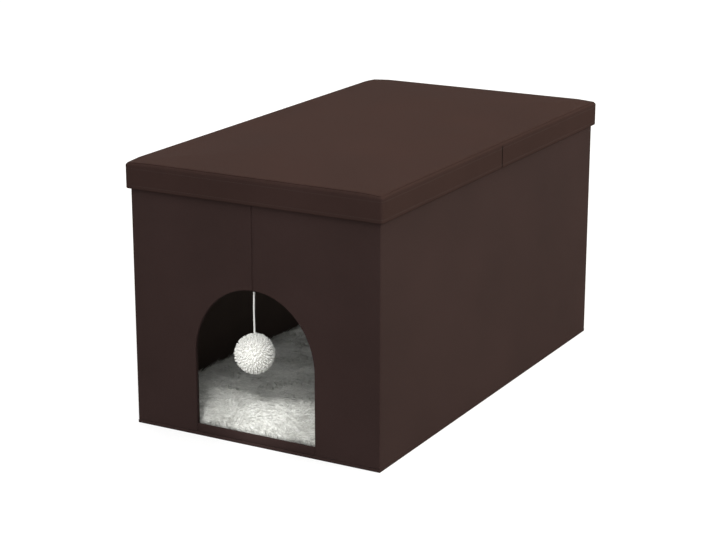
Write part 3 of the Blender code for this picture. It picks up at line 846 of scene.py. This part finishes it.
def lid_profile():
    """(inset, z) from the hem's edge inside the band to the top of the rounded edge."""
    hem = [(LID_SKIRT - CLOTH, LID_TURNED_UP), (LID_SKIRT, 0.0080), (LID_SKIRT, 0.0012),
           (LID_SKIRT - 0.0003, 0.0003), (LID_SKIRT - 0.0012, 0.0), (0.0014, 0.0), (0.0005, 0.0003),
           (0.0001, 0.0010)]
    profile = [(inset, LID_FOOT + rise) for inset, rise in hem]
    z = LID_FOOT + 0.0020
    while z < BAND_TOP - 0.0004:
        inset = STITCH_DIP * (dip(z - HEM_STITCH_Z, DIP_HALF) + dip(z - TOP_STITCH_Z, DIP_HALF))
        profile.append((inset, z))
        near = min(abs(z - HEM_STITCH_Z), abs(z - TOP_STITCH_Z)) < 0.0016
        z += 0.0005 if near else 0.0024
    for turn in range(0, 91, 3):
        radius = LID_EDGE_RADIUS - SEAM_GROOVE * dip(turn - SEAM_TURN, 9.0)
        radius += SEAM_RIDGE * dip(turn - SEAM_TURN - 18, 12.0)
        profile.append((LID_EDGE_RADIUS - radius * math.cos(math.radians(turn)),
                        BAND_TOP + radius * math.sin(math.radians(turn))))
    return profile


def lid_crown(steps_in=16):
    """Rings over the padded top, from its edge to its middle."""
    reach = LID_X * 0.8
    rings = []
    for i in range(1, steps_in + 1):
        share = i / steps_in
        inset = LID_EDGE_RADIUS + (reach - LID_EDGE_RADIUS) * share
        rings.append(lid_ring(inset, LID_EDGE_TOP + LID_CROWN * math.sin(math.pi / 2 * share)))
    return rings


# %% Band seam, corners and uneven top
BAND_SEAM_Y = 0.005
BAND_SEAM_HALF = 0.0028
BAND_SEAM_DEPTH = 0.00095
SEAM_SHADE_SHARE = 0.6  # share of the seam's width that is painted shade, a darker copy of the cloth
CORNER_DROOP = 0.0020  # the foam is thinner at the lid's corners
CORNER_REACH = 0.034
TOP_UNEVEN = 0.0005

inner_floor = [lid_ring(CLOTH, LID_EDGE_TOP - 0.010), lid_ring(CLOTH, LID_FOOT + CLOTH)]
lid_bm = loft(inner_floor + [lid_ring(inset, z) for inset, z in lid_profile()] + lid_crown())
cut_columns(lid_bm, "y", [BAND_SEAM_Y + BAND_SEAM_HALF * share
                          for share in (-1, -SEAM_SHADE_SHARE, -0.3, 0, 0.3, SEAM_SHADE_SHARE, 1)])
for vert in lid_bm.verts:
    x, y, z = vert.co
    if abs(x) > LID_X - 0.0006 and z < BAND_TOP:
        vert.co.x -= math.copysign(BAND_SEAM_DEPTH * dip(y - BAND_SEAM_Y, BAND_SEAM_HALF), x)
    corner = soft_step(CORNER_REACH, 0.0, LID_X - abs(x)) * soft_step(CORNER_REACH, 0.0, LID_Y - abs(y))
    vert.co.z -= CORNER_DROOP * corner * soft_step(LID_EDGE_TOP - 0.009, LID_EDGE_TOP, z)
    if z > LID_EDGE_TOP:
        uneven = TOP_UNEVEN * (0.5 + 0.5 * noise.noise(Vector((x * 9.0, y * 9.0, 0.4))))
        vert.co.z -= uneven * soft_step(LID_EDGE_TOP, LID_EDGE_TOP + 0.0012, z)
# Faces in the middle of the band's seam take the darker copy of the cloth: painted shade for the seam's
# valley.
for face in lid_bm.faces:
    x, y, z = face.calc_center_median()
    in_seam_shade = abs(y - BAND_SEAM_Y) < SEAM_SHADE_SHARE * BAND_SEAM_HALF and abs(x) > LID_X - 0.0020
    if in_seam_shade and LID_FOOT + 0.0010 < z < BAND_TOP:
        face.material_index = 1
lid_skin = finish_mesh("lid_skin", lid_bm, LID_CLOTH, 60.0)
lid_skin.data.materials.append(SEAM_SHADE_CLOTH)
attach(lid_skin, "lid")
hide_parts("lid_cover", "lid_foam")

# %% Lid stitches
stitch_line("lid_stitches", [
    rounded_ring(LID_X - 2 * STITCH_DIP, LID_Y - 2 * STITCH_DIP, LID_CORNER, z)
    for z in (HEM_STITCH_Z, TOP_STITCH_Z)], "lid")

# %% [markdown]
# ## Creases, doorway strip and corner cloths
#
# Cloth does the work of hinges on this box. Each end has a strip of cover across its crease,
# the doorway has one unbroken strip along its foot, and a cloth tape joins each pair of panels
# inside their corner.

# %% Crease strips
CREASE_ROWS = [(-0.0017, 0.0018), (-0.0010, 0.0014), (-0.0003, 0.0013), (0.0003, 0.0013),
               (0.0010, 0.0014), (0.0017, 0.0018)]  # across, behind the outer face
CREASE_CLOTH = 0.0005
door_top_z = DOOR_SPRING_Z + DOOR_RISE


def crease_cloth(name, end, foot, replaced):
    """A shallow trough of cloth across the crease. end is -1 at the front and +1 at the rear."""
    outer = [(x, end * (BOX_Y - depth)) for x, depth in CREASE_ROWS]
    inner = [(x, end * (BOX_Y - depth - CREASE_CLOTH)) for x, depth in reversed(CREASE_ROWS)]
    rings = []
    for i in range(25):
        z = foot + (TOP_Z - foot) * i / 24
        rings.append([Vector((x, y, z)) for x, y in outer + inner])
    piece = finish_mesh(name, loft(rings), LEATHERCLOTH)
    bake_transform(piece)
    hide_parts(replaced)


crease_cloth("front_crease_cloth", -1, door_top_z + 0.0003,
             "front_crease_strip")
crease_cloth("rear_crease_cloth", 1, FOOT_Z,
             "rear_crease_strip")

# %% Doorway strip
sill_low, sill_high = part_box("sill_left")
SILL_SET_BACK = 0.0004
SILL_ROLL = 0.0010


def sill_section():
    """(y, z) round the strip, with its long edges rolled."""
    front, back = sill_low.y + SILL_SET_BACK, sill_high.y
    points = []
    for y, z, start in ((front, sill_low.z, 180), (back, sill_low.z, 270), (back, sill_high.z, 0),
                        (front, sill_high.z, 90)):
        sy, sz = (1 if y == front else -1), (1 if z == sill_low.z else -1)
        for i in range(5):
            turn = math.radians(start + 90 * i / 4)
            points.append((y + sy * SILL_ROLL + SILL_ROLL * math.cos(turn),
                           z + sz * SILL_ROLL + SILL_ROLL * math.sin(turn)))
    return points


sill_x = [sill_low.x, sill_low.x + 0.0006] + steps(sill_low.x, -0.006, 0.012)
sill_x += [-0.006, -0.004, -0.003, -0.002, -0.001, 0.0]
sill_x += [-x for x in reversed(sill_x[:-1])]
middle_y, middle_z = (sill_low.y + sill_high.y) / 2, (sill_low.z + sill_high.z) / 2
sill_rings = []
for x in sill_x:
    pinch = 0.0005 if abs(x) > abs(sill_low.x) - 0.0003 else 0.0
    sill_rings.append([Vector((x, y + math.copysign(pinch, middle_y - y),
                               z + math.copysign(pinch, middle_z - z))) for y, z in sill_section()])
doorway_strip = finish_mesh("doorway_strip", loft(sill_rings), LEATHERCLOTH)
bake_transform(doorway_strip)
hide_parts("sill_left", "sill_right")

# %% Corner cloths
TAPE_LEG = 0.018
TAPE = 0.0005
TAPE_GAP = 0.0003
TAPE_BEND = 0.0012
TAPE_ROWS = 24


def corner_cloth(name, side, end, bodies, replaced):
    """An L of tape inside a corner, with a rounded bend. bodies names its side first, then its end."""
    x0, y0 = INNER_X - TAPE_GAP, BOX_Y - PANEL - TAPE_GAP
    bend = TAPE_BEND
    middle = []
    for i in range(13):
        middle.append((x0, y0 - bend - (TAPE_LEG - bend) * (1 - i / 12)))
    for i in range(1, 8):
        turn = math.radians(90 * i / 8)
        middle.append((x0 - bend + bend * math.cos(turn), y0 - bend + bend * math.sin(turn)))
    for i in range(13):
        middle.append((x0 - bend - (TAPE_LEG - bend) * i / 12, y0))
    inner = []
    for x, y in middle:
        on_side, on_end = x > x0 - 1e-6, y > y0 - 1e-6
        if on_side:
            inner.append((x - TAPE, y))
        elif on_end:
            inner.append((x, y - TAPE))
        else:
            out = Vector((x - (x0 - bend), y - (y0 - bend))).normalized()
            inner.append((x - out.x * TAPE, y - out.y * TAPE))
    outline = [(side * x, end * y) for x, y in middle + inner[::-1]]
    rings = []
    for i in range(TAPE_ROWS + 1):
        z = FOOT_Z + 0.001 + (TOP_Z - FOOT_Z - 0.002) * i / TAPE_ROWS
        rings.append([Vector((x, y, z)) for x, y in outline])
    piece = finish_mesh(name, loft(rings), LINING)
    if len(bodies) == 2:
        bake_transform(piece)
    else:
        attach(piece, bodies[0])
    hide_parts(replaced)


corner_cloth("front_left_corner_cloth", -1, -1, ("base_and_left_side", "front_left_half"), "front_left_tape")
corner_cloth("front_right_corner_cloth", 1, -1, ("right_side", "front_right_half"), "front_right_tape")
corner_cloth("rear_left_corner_cloth", -1, 1, ("base_and_left_side", "rear_left_half"), "rear_left_tape")
corner_cloth("rear_right_corner_cloth", 1, 1, ("right_side",), "rear_right_tape")

# %% [markdown]
# ## Toy
#
# A pompom is a bundle of yarn, tied hard in its middle and trimmed to a ball, so what shows is
# the rounded ends of some hundreds of strands. It hangs in the doorway on a short laid cord.
# The cord is a tube with three rounded lobes that turn as they go down, like three plies.
# The knot that it hangs from is the same tube, laid along a closed trefoil.

# %% Toy cord
CORD_TOP = (0.0, -0.35075, 0.22150)
CORD_LENGTH = 0.0562
CORD_WIDTH = 0.0026
CORD_ROUTE = [(0.0, 0.0), (-0.0003, 0.25), (-0.0004, 0.50), (-0.0002, 0.75), (0.0, 1.0)]  # aside, down


def smooth_point(route, share):
    """A point on a smooth curve through the route."""
    place = share * (len(route) - 1)
    i = min(int(place), len(route) - 2)
    t = place - i
    p0, p1 = route[max(i - 1, 0)], route[i]
    p2, p3 = route[i + 1], route[min(i + 2, len(route) - 1)]
    found = []
    for a, b, c, d in zip(p0, p1, p2, p3):
        found.append(0.5 * (2 * b + (c - a) * t + (2 * a - 5 * b + 4 * c - d) * t * t
                            + (3 * b - a - 3 * c + d) * t ** 3))
    return found


cord_line = []
for i in range(61):
    aside, down = smooth_point(CORD_ROUTE, i / 60)
    cord_line.append(Vector((CORD_TOP[0] + aside, CORD_TOP[1], CORD_TOP[2] - CORD_LENGTH * down)))


def laid_tube(name, line, width, plies, lay, finish, closed=False, around=24):
    """A tube along line with rounded plies that make a full turn every lay metres."""
    rings = []
    travelled = 0.0
    count = len(line)
    for i, point in enumerate(line):
        after = line[(i + 1) % count] if closed or i < count - 1 else point
        before = line[i - 1] if closed or i > 0 else point
        if i:
            travelled += (point - line[i - 1]).length
        ahead = (after - before).normalized()
        out = ahead.orthogonal() if abs(ahead.z) < 0.9 else Vector((0, 1, 0)).cross(ahead)
        if closed:
            out = (point - Vector(CORD_TOP)).cross(ahead)
        out.normalize()
        beside = ahead.cross(out)
        ring = []
        for k in range(around):
            turn = 2 * math.pi * k / around
            lobe = abs(math.cos(plies * (turn - 2 * math.pi * travelled / lay) / 2))
            radius = width / 2 * (0.74 + 0.26 * lobe ** 0.7)
            ring.append(point + out * radius * math.cos(turn) + beside * radius * math.sin(turn))
        rings.append(ring)
    if closed:
        rings.append(rings[0])
    bm = loft(rings, cap=not closed)
    if closed:
        bmesh.ops.remove_doubles(bm, verts=bm.verts, dist=1e-7)
    return finish_mesh(name, bm, finish, 80.0)


hanging_cord = laid_tube("hanging_cord", cord_line, CORD_WIDTH, 3, 0.0085, YARN)
cord_length = sum((b - a).length for a, b in zip(cord_line, cord_line[1:]))
print(f"toy cord: {cord_length * 1000:.1f} mm long")

# %% Knot
knot_low, knot_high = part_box("toy_knot")
knot_middle = (knot_low + knot_high) / 2
knot_line = []
for i in range(72):
    turn = 2 * math.pi * i / 72
    knot_line.append(Vector((
        knot_middle.x + 0.00036 * (math.sin(turn) + 2 * math.sin(2 * turn)),
        knot_middle.y + 0.00036 * (math.cos(turn) - 2 * math.cos(2 * turn)),
        knot_middle.z - 0.00075 * math.sin(3 * turn),
    )))
cord_knot = laid_tube("cord_knot", knot_line, 0.0012, 3, 0.0040, YARN, closed=True, around=12)

# %% [markdown]
# ## Pompom
#
# Yarn ends could be modelled one by one, but they are all alike. Here points are spread over a
# ball, never closer than a yarn's width or so, and each gets a long bead that leans its own way.

# %% Pompom tree
def random_number(tree, low, high, seed):
    """A number of its own for each point. Of this node, sockets 2, 3 and 8 are low, high and seed."""
    return add_node(tree, "FunctionNodeRandomValue", {2: low, 3: high, 8: seed},
                    data_type="FLOAT").outputs[1]


def build_pompom():
    """A ball of yarn ends. Each is a long bead that stands out of the ball and leans a little."""
    tree, start, end = new_tree("pompom_yarn", [
        ("Spacing", FLOAT, 0.0027), ("Yarn width", FLOAT, 0.0026), ("Yarn length", FLOAT, 0.0080),
        ("Lean", FLOAT, 0.44), ("Seed", "NodeSocketInt", 3),
    ])
    values = start.outputs
    places = add_node(tree, "GeometryNodeDistributePointsOnFaces",
                      {"Mesh": values["Geometry"], "Distance Min": values["Spacing"],
                       "Density Max": 900000.0, "Seed": values["Seed"]}, distribute_method="POISSON")
    bead = add_node(tree, "GeometryNodeMeshUVSphere", {"Segments": 6, "Rings": 6, "Radius": 0.5})
    wobble = add_node(tree, "FunctionNodeRandomValue",
                      {"Seed": values["Seed"], "Min": (-1.0, -1.0, -1.0), "Max": (1.0, 1.0, 1.0)},
                      data_type="FLOAT_VECTOR")
    lean = vector_node(tree, "SCALE", wobble.outputs[0], values["Lean"])
    direction = vector_node(tree, "ADD", places.outputs["Normal"], lean)
    turn = add_node(tree, "FunctionNodeAlignRotationToVector", {"Vector": direction}, axis="Z")
    width = values["Yarn width"]
    size = add_node(tree, "ShaderNodeCombineXYZ", {"X": width, "Y": width, "Z": values["Yarn length"]})
    grown = vector_node(tree, "SCALE", size.outputs[0], random_number(tree, 0.82, 1.16, 11))
    ends = add_node(tree, "GeometryNodeInstanceOnPoints",
                    {"Points": places.outputs["Points"], "Instance": bead.outputs["Mesh"],
                     "Rotation": turn.outputs[0], "Scale": grown})
    end_tree(tree, ends.outputs[0], end, YARN, values["Geometry"])
    return tree


# %% Pompom
ball_low, ball_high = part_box("pompom")
BALL_RADIUS = (ball_high.z - ball_low.z) / 2
BALL_PILE = 0.0036  # depth of the yarn ends round the core
ball_middle = Vector((CORD_TOP[0], CORD_TOP[1], (ball_low.z + ball_high.z) / 2))
core_bm = bmesh.new()
bmesh.ops.create_icosphere(core_bm, subdivisions=4, radius=BALL_RADIUS - BALL_PILE,
                           matrix=Matrix.Translation(ball_middle))
yarn_ball = grow("yarn_ball", finish_mesh("pompom_core", core_bm, YARN), build_pompom())
print("pompom:", len(yarn_ball.data.polygons), "faces")

for piece, node in ((hanging_cord, "toy_cord"), (yarn_ball, "pompom")):
    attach(piece, "toy")
    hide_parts(node)
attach(cord_knot, "toy_knot")
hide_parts("toy_knot")
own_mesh(yarn_ball)

# %% [markdown]
# ## Cushion
#
# A thin foam pad in a loose plush cover. Its form comes from a cloth simulation: the cover starts
# as a slightly small shell, and pressure inside blows it up, so that it swells in the middle and
# pulls in along its sides, as sewn covers do. It is then fitted to the walls, sloped towards the
# doorway as in the photograph, and rests flat on the base.

# %% Cushion shell
plush_low, plush_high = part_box("cushion_plush")
CUSHION_X, CUSHION_Y = plush_high.x, plush_high.y
CUSHION_FOOT, CUSHION_TOP = plush_low.z, plush_high.z
SHELL_INSET = 0.0020
SHELL_CORNER = 0.034
SHELL_PULL = 0.001  # its sides pull in this much between the corners
SHELL_PROFILE = [(0.016, 0.0), (0.006, 0.04), (0.001, 0.16), (0.0, 0.38), (0.001, 0.58), (0.006, 0.72),
                 (0.016, 0.80), (0.040, 0.83), (0.080, 0.85), (0.120, 0.86)]  # inset, share of the height


def cushion_shell():
    """The unfilled cover, as rings from its hem up over its edge to the middle."""
    rise = CUSHION_TOP - CUSHION_FOOT
    rings = []
    for inset, share in SHELL_PROFILE:
        size = inset + SHELL_INSET
        rings.append(rounded_ring(CUSHION_X - size, CUSHION_Y - size, SHELL_CORNER - min(inset, 0.02),
                                  CUSHION_FOOT + 0.0005 + rise * share, 20, 36, 7, pull=SHELL_PULL))
    return loft(rings)


# %% Blow it up
REMESH = 0.0065  # size of the even faces that the simulation works on
MOST_MOVE = 0.011  # a point keeps its direction but goes no farther than this
PRESSURE = 2.6
FRAMES = 20


def blown_up(piece):
    """Fills a closed cover by a cloth simulation, and leaves a plain mesh."""
    remesh = piece.modifiers.new("even faces", "REMESH")
    remesh.mode = "VOXEL"
    remesh.voxel_size = REMESH
    even = evaluated_mesh(piece)
    piece.modifiers.remove(remesh)
    piece.data = even
    rest = np.array([v.co for v in even.vertices])
    cloth = piece.modifiers.new("cloth", "CLOTH")
    settings = cloth.settings
    settings.quality = 5
    settings.mass = 0.25
    settings.tension_stiffness = 18.0
    settings.compression_stiffness = 14.0
    settings.shear_stiffness = 6.0
    settings.bending_stiffness = 0.4
    settings.use_pressure = True
    settings.uniform_pressure_force = PRESSURE
    settings.effector_weights.gravity = 0.0
    cloth.collision_settings.use_collision = False
    scene = bpy.context.scene
    for frame_number in range(1, FRAMES + 1):
        scene.frame_set(frame_number)
    evaluated = piece.evaluated_get(bpy.context.evaluated_depsgraph_get())
    step = np.array([v.co for v in evaluated.data.vertices]) - rest
    piece.modifiers.remove(cloth)
    scene.frame_set(1)
    length = np.linalg.norm(step, axis=1)
    share = np.minimum(1.0, MOST_MOVE / np.maximum(length, 1e-9))
    even.vertices.foreach_set("co", (rest + step * share[:, None]).ravel())
    even.update()
    print(f"blown up: {len(rest)} points, moved {length.mean() * 1000:.1f} mm before the limit")


cushion_body = finish_mesh("cushion_body", cushion_shell(), PLUSH)
blown_up(cushion_body)

# %% Fit it to the walls and slope it to the sill
NEAR_FULLNESS, FAR_FULLNESS = 1.10, 0.85  # the end at the doorway is thicker than the far one
NEAR_SLOPE = 0.46  # and falls this much towards the sill,
NEAR_SLOPE_REACH = 0.062  # over this length
SILL_OVERHANG = 0.0045  # the plush swells this far over the sill
STREAK_HEIGHT, SWELL_HEIGHT = 0.0010, 0.0016  # of the uneven top


def uneven_top(x, y, z):
    """Fine streaks across the cushion and slow swells, as the height that they add."""
    fine = noise.noise(Vector((x * 55.0, y * 190.0, z * 60.0)))
    finer = noise.noise(Vector((x * 130.0, y * 400.0, 7.0)))
    slow = noise.noise(Vector((x * 14.0, y * 17.0, 3.0)))
    return STREAK_HEIGHT * (fine + 0.5 * finer) + SWELL_HEIGHT * slow


def over_sill(x, y, z):
    """1 where the plush can swell out through the doorway, and 0 elsewhere."""
    return (soft_step(0.014 - CUSHION_Y, 0.002 - CUSHION_Y, y)
            * soft_step(sill_high.z + 0.0005, sill_high.z + 0.0035, z)
            * soft_step(DOOR_HALF_WIDTH - 0.003, DOOR_HALF_WIDTH - 0.016, abs(x)))


body_bm = bmesh.new()
body_bm.from_mesh(cushion_body.data)
bmesh.ops.subdivide_edges(body_bm, edges=body_bm.edges, cuts=1, use_grid_fill=True, smooth=0.6)
limit_x, limit_y = CUSHION_X - 0.0010, CUSHION_Y - 0.0005
swollen_x = max(abs(vert.co.x) for vert in body_bm.verts)
swollen_y = max(abs(vert.co.y) for vert in body_bm.verts)
for vert in body_bm.verts:
    x, y, z = vert.co.x * limit_x / swollen_x, vert.co.y * limit_y / swollen_y, vert.co.z
    fullness = NEAR_FULLNESS + (FAR_FULLNESS - NEAR_FULLNESS) * soft_step(-0.26, 0.08, y)
    fullness *= 1.0 - NEAR_SLOPE * soft_step(NEAR_SLOPE_REACH - limit_y, -limit_y, y)
    z = CUSHION_FOOT + (z - CUSHION_FOOT) * fullness
    vert.co.z = z
    if z > CUSHION_FOOT + 0.010:
        vert.co.z += uneven_top(x, y, z)
    vert.co.x = min(max(x, -limit_x), limit_x)
    vert.co.y = min(max(y, -limit_y), limit_y)
    vert.co.y -= SILL_OVERHANG * over_sill(x, y, z)
    vert.co.z = min(max(vert.co.z, CUSHION_FOOT + 0.0008), CUSHION_TOP + 0.008)
top_z = max(vert.co.z for vert in body_bm.verts)
body_bm.to_mesh(cushion_body.data)
body_bm.free()
cushion_body.data.shade_smooth()
print(f"cushion: {len(cushion_body.data.polygons)} faces, top at {top_z * 1000:.1f} mm")

# %% [markdown]
# ## Pile
#
# Plush is cut yarn that lies over in waves. Hair curves would be the usual way, but the part
# is to be plain mesh. So Geometry Nodes sow tens of thousands of small curved blades,
# turn each by a slow pattern and a random share, and shorten those that would go into a wall.

# %% One lock
def build_lock(tree, place):
    """A blade of length 1 along X from where it grows, arched, and narrower towards its tip."""
    blade = add_node(tree, "GeometryNodeMeshGrid",
                     {"Size X": 1.0, "Size Y": 1.0, "Vertices X": 4, "Vertices Y": 2})
    flat = add_node(tree, "ShaderNodeSeparateXYZ", {0: place}).outputs
    along = sum_node(tree, "ADD", flat["X"], 0.5)
    squared = sum_node(tree, "MULTIPLY", along, along)
    climb = sum_node(tree, "MULTIPLY_ADD", along, 0.62, -0.06)
    arch = sum_node(tree, "MULTIPLY_ADD", squared, -0.46, climb)
    taper = sum_node(tree, "MULTIPLY_ADD", squared, -0.82, 1.0)
    width = sum_node(tree, "MULTIPLY", flat["Y"], taper)
    curved = add_node(tree, "ShaderNodeCombineXYZ", {"X": along, "Y": width, "Z": arch})
    return add_node(tree, "GeometryNodeSetPosition",
                    {"Geometry": blade.outputs["Mesh"], "Position": curved.outputs[0]}).outputs[0]


# %% Where locks differ
def at_doorway(tree, spot):
    """1 where the cushion faces out of the doorway above the sill, and 0 elsewhere."""
    sideways = sum_node(tree, "ABSOLUTE", spot["X"])
    front, over, between = [ramp_node(tree, value, none_at, all_at) for value, none_at, all_at in (
        (spot["Y"], 0.012 - CUSHION_Y, 0.003 - CUSHION_Y),
        (spot["Z"], sill_high.z - 0.0025, sill_high.z),
        (sideways, DOOR_HALF_WIDTH - 0.006, DOOR_HALF_WIDTH - 0.014))]
    return sum_node(tree, "MULTIPLY", sum_node(tree, "MULTIPLY", front, over), between)


def clear_of_walls(tree, spot):
    """1 in the open, and 0.5 beside a wall."""
    beside_x, beside_y = [
        ramp_node(tree, sum_node(tree, "ABSOLUTE", spot[axis]), reach - 0.022, reach, 1.0, 0.5)
        for axis, reach in (("X", CUSHION_X), ("Y", CUSHION_Y))]
    return sum_node(tree, "MINIMUM", beside_x, beside_y)


# %% Pile tree
def build_pile():
    """Short curved locks, lying mostly across the cushion in slow waves."""
    tree, start, end = new_tree("plush_pile", [
        ("Locks per square metre", FLOAT, 145000.0), ("Lock length", FLOAT, 0.0110),
        ("Lock width", FLOAT, 0.0020), ("Lowest", FLOAT, 0.011), ("Seed", "NodeSocketInt", 5),
    ])
    values = start.outputs
    place = add_node(tree, "GeometryNodeInputPosition").outputs[0]
    spot = add_node(tree, "ShaderNodeSeparateXYZ", {0: place}).outputs
    above = add_node(tree, "FunctionNodeCompare", {0: spot["Z"], 1: values["Lowest"]},
                     data_type="FLOAT", operation="GREATER_THAN")
    roots = add_node(tree, "GeometryNodeDistributePointsOnFaces",
                     {"Mesh": values["Geometry"], "Selection": above.outputs[0],
                      "Density": values["Locks per square metre"], "Seed": values["Seed"]},
                     distribute_method="RANDOM")
    wave = add_node(tree, "ShaderNodeTexNoise", {"Vector": place, "Scale": 26.0, "Detail": 1.0})
    swirl = ramp_node(tree, wave.outputs["Fac"], 0.3, 0.7, -1.3, 1.3, clamp=False)
    turned = sum_node(tree, "ADD", swirl, random_number(tree, -0.55, 0.55, 17))
    doorway = at_doorway(tree, spot)
    raised = sum_node(tree, "MULTIPLY_ADD", doorway, -0.65, random_number(tree, -0.30, 0.10, 23))
    euler = add_node(tree, "ShaderNodeCombineXYZ", {"Y": raised, "Z": turned})
    spin = add_node(tree, "FunctionNodeEulerToRotation", {0: euler.outputs[0]})
    upright = add_node(tree, "FunctionNodeAlignRotationToVector",
                       {"Vector": roots.outputs["Normal"]}, axis="Z")
    facing = add_node(tree, "FunctionNodeRotateRotation", {0: upright.outputs[0], 1: spin.outputs[0]},
                      rotation_space="LOCAL")
    length = values["Lock length"]
    size = add_node(tree, "ShaderNodeCombineXYZ", {"X": length, "Y": values["Lock width"], "Z": length})
    room = sum_node(tree, "MAXIMUM", clear_of_walls(tree, spot), doorway)
    share = sum_node(tree, "MULTIPLY", random_number(tree, 0.65, 1.25, 31), room)
    locks = add_node(tree, "GeometryNodeInstanceOnPoints",
                     {"Points": roots.outputs["Points"], "Instance": build_lock(tree, place),
                      "Rotation": facing.outputs[0],
                      "Scale": vector_node(tree, "SCALE", size.outputs[0], share)})
    end_tree(tree, locks.outputs[0], end, PLUSH, values["Geometry"])
    return tree


# %% Grow the pile
plush_cushion = grow("plush_cushion", cushion_body, build_pile())
print("cushion with its pile:", len(plush_cushion.data.polygons), "faces")

# %% Cushion's underside
def underside_cloth():
    """A thin cloth panel under the cushion, sewn inside its lower edge."""
    low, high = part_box("cushion_underside")
    rings = [rounded_ring(high.x - inset, high.y - inset, 0.023 - inset, z, 20, 36)
             for inset, z in ((0.001, low.z), (0.0, (low.z + high.z) / 2), (0.001, high.z))]
    return finish_mesh("underside_cloth", loft(rings), LINING)


cushion_underside = underside_cloth()
for piece, names in ((plush_cushion, ("cushion_plush", "cushion_foam")),
                     (cushion_underside, ("cushion_underside",))):
    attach(piece, "cushion")
    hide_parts(*names)
    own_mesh(piece)
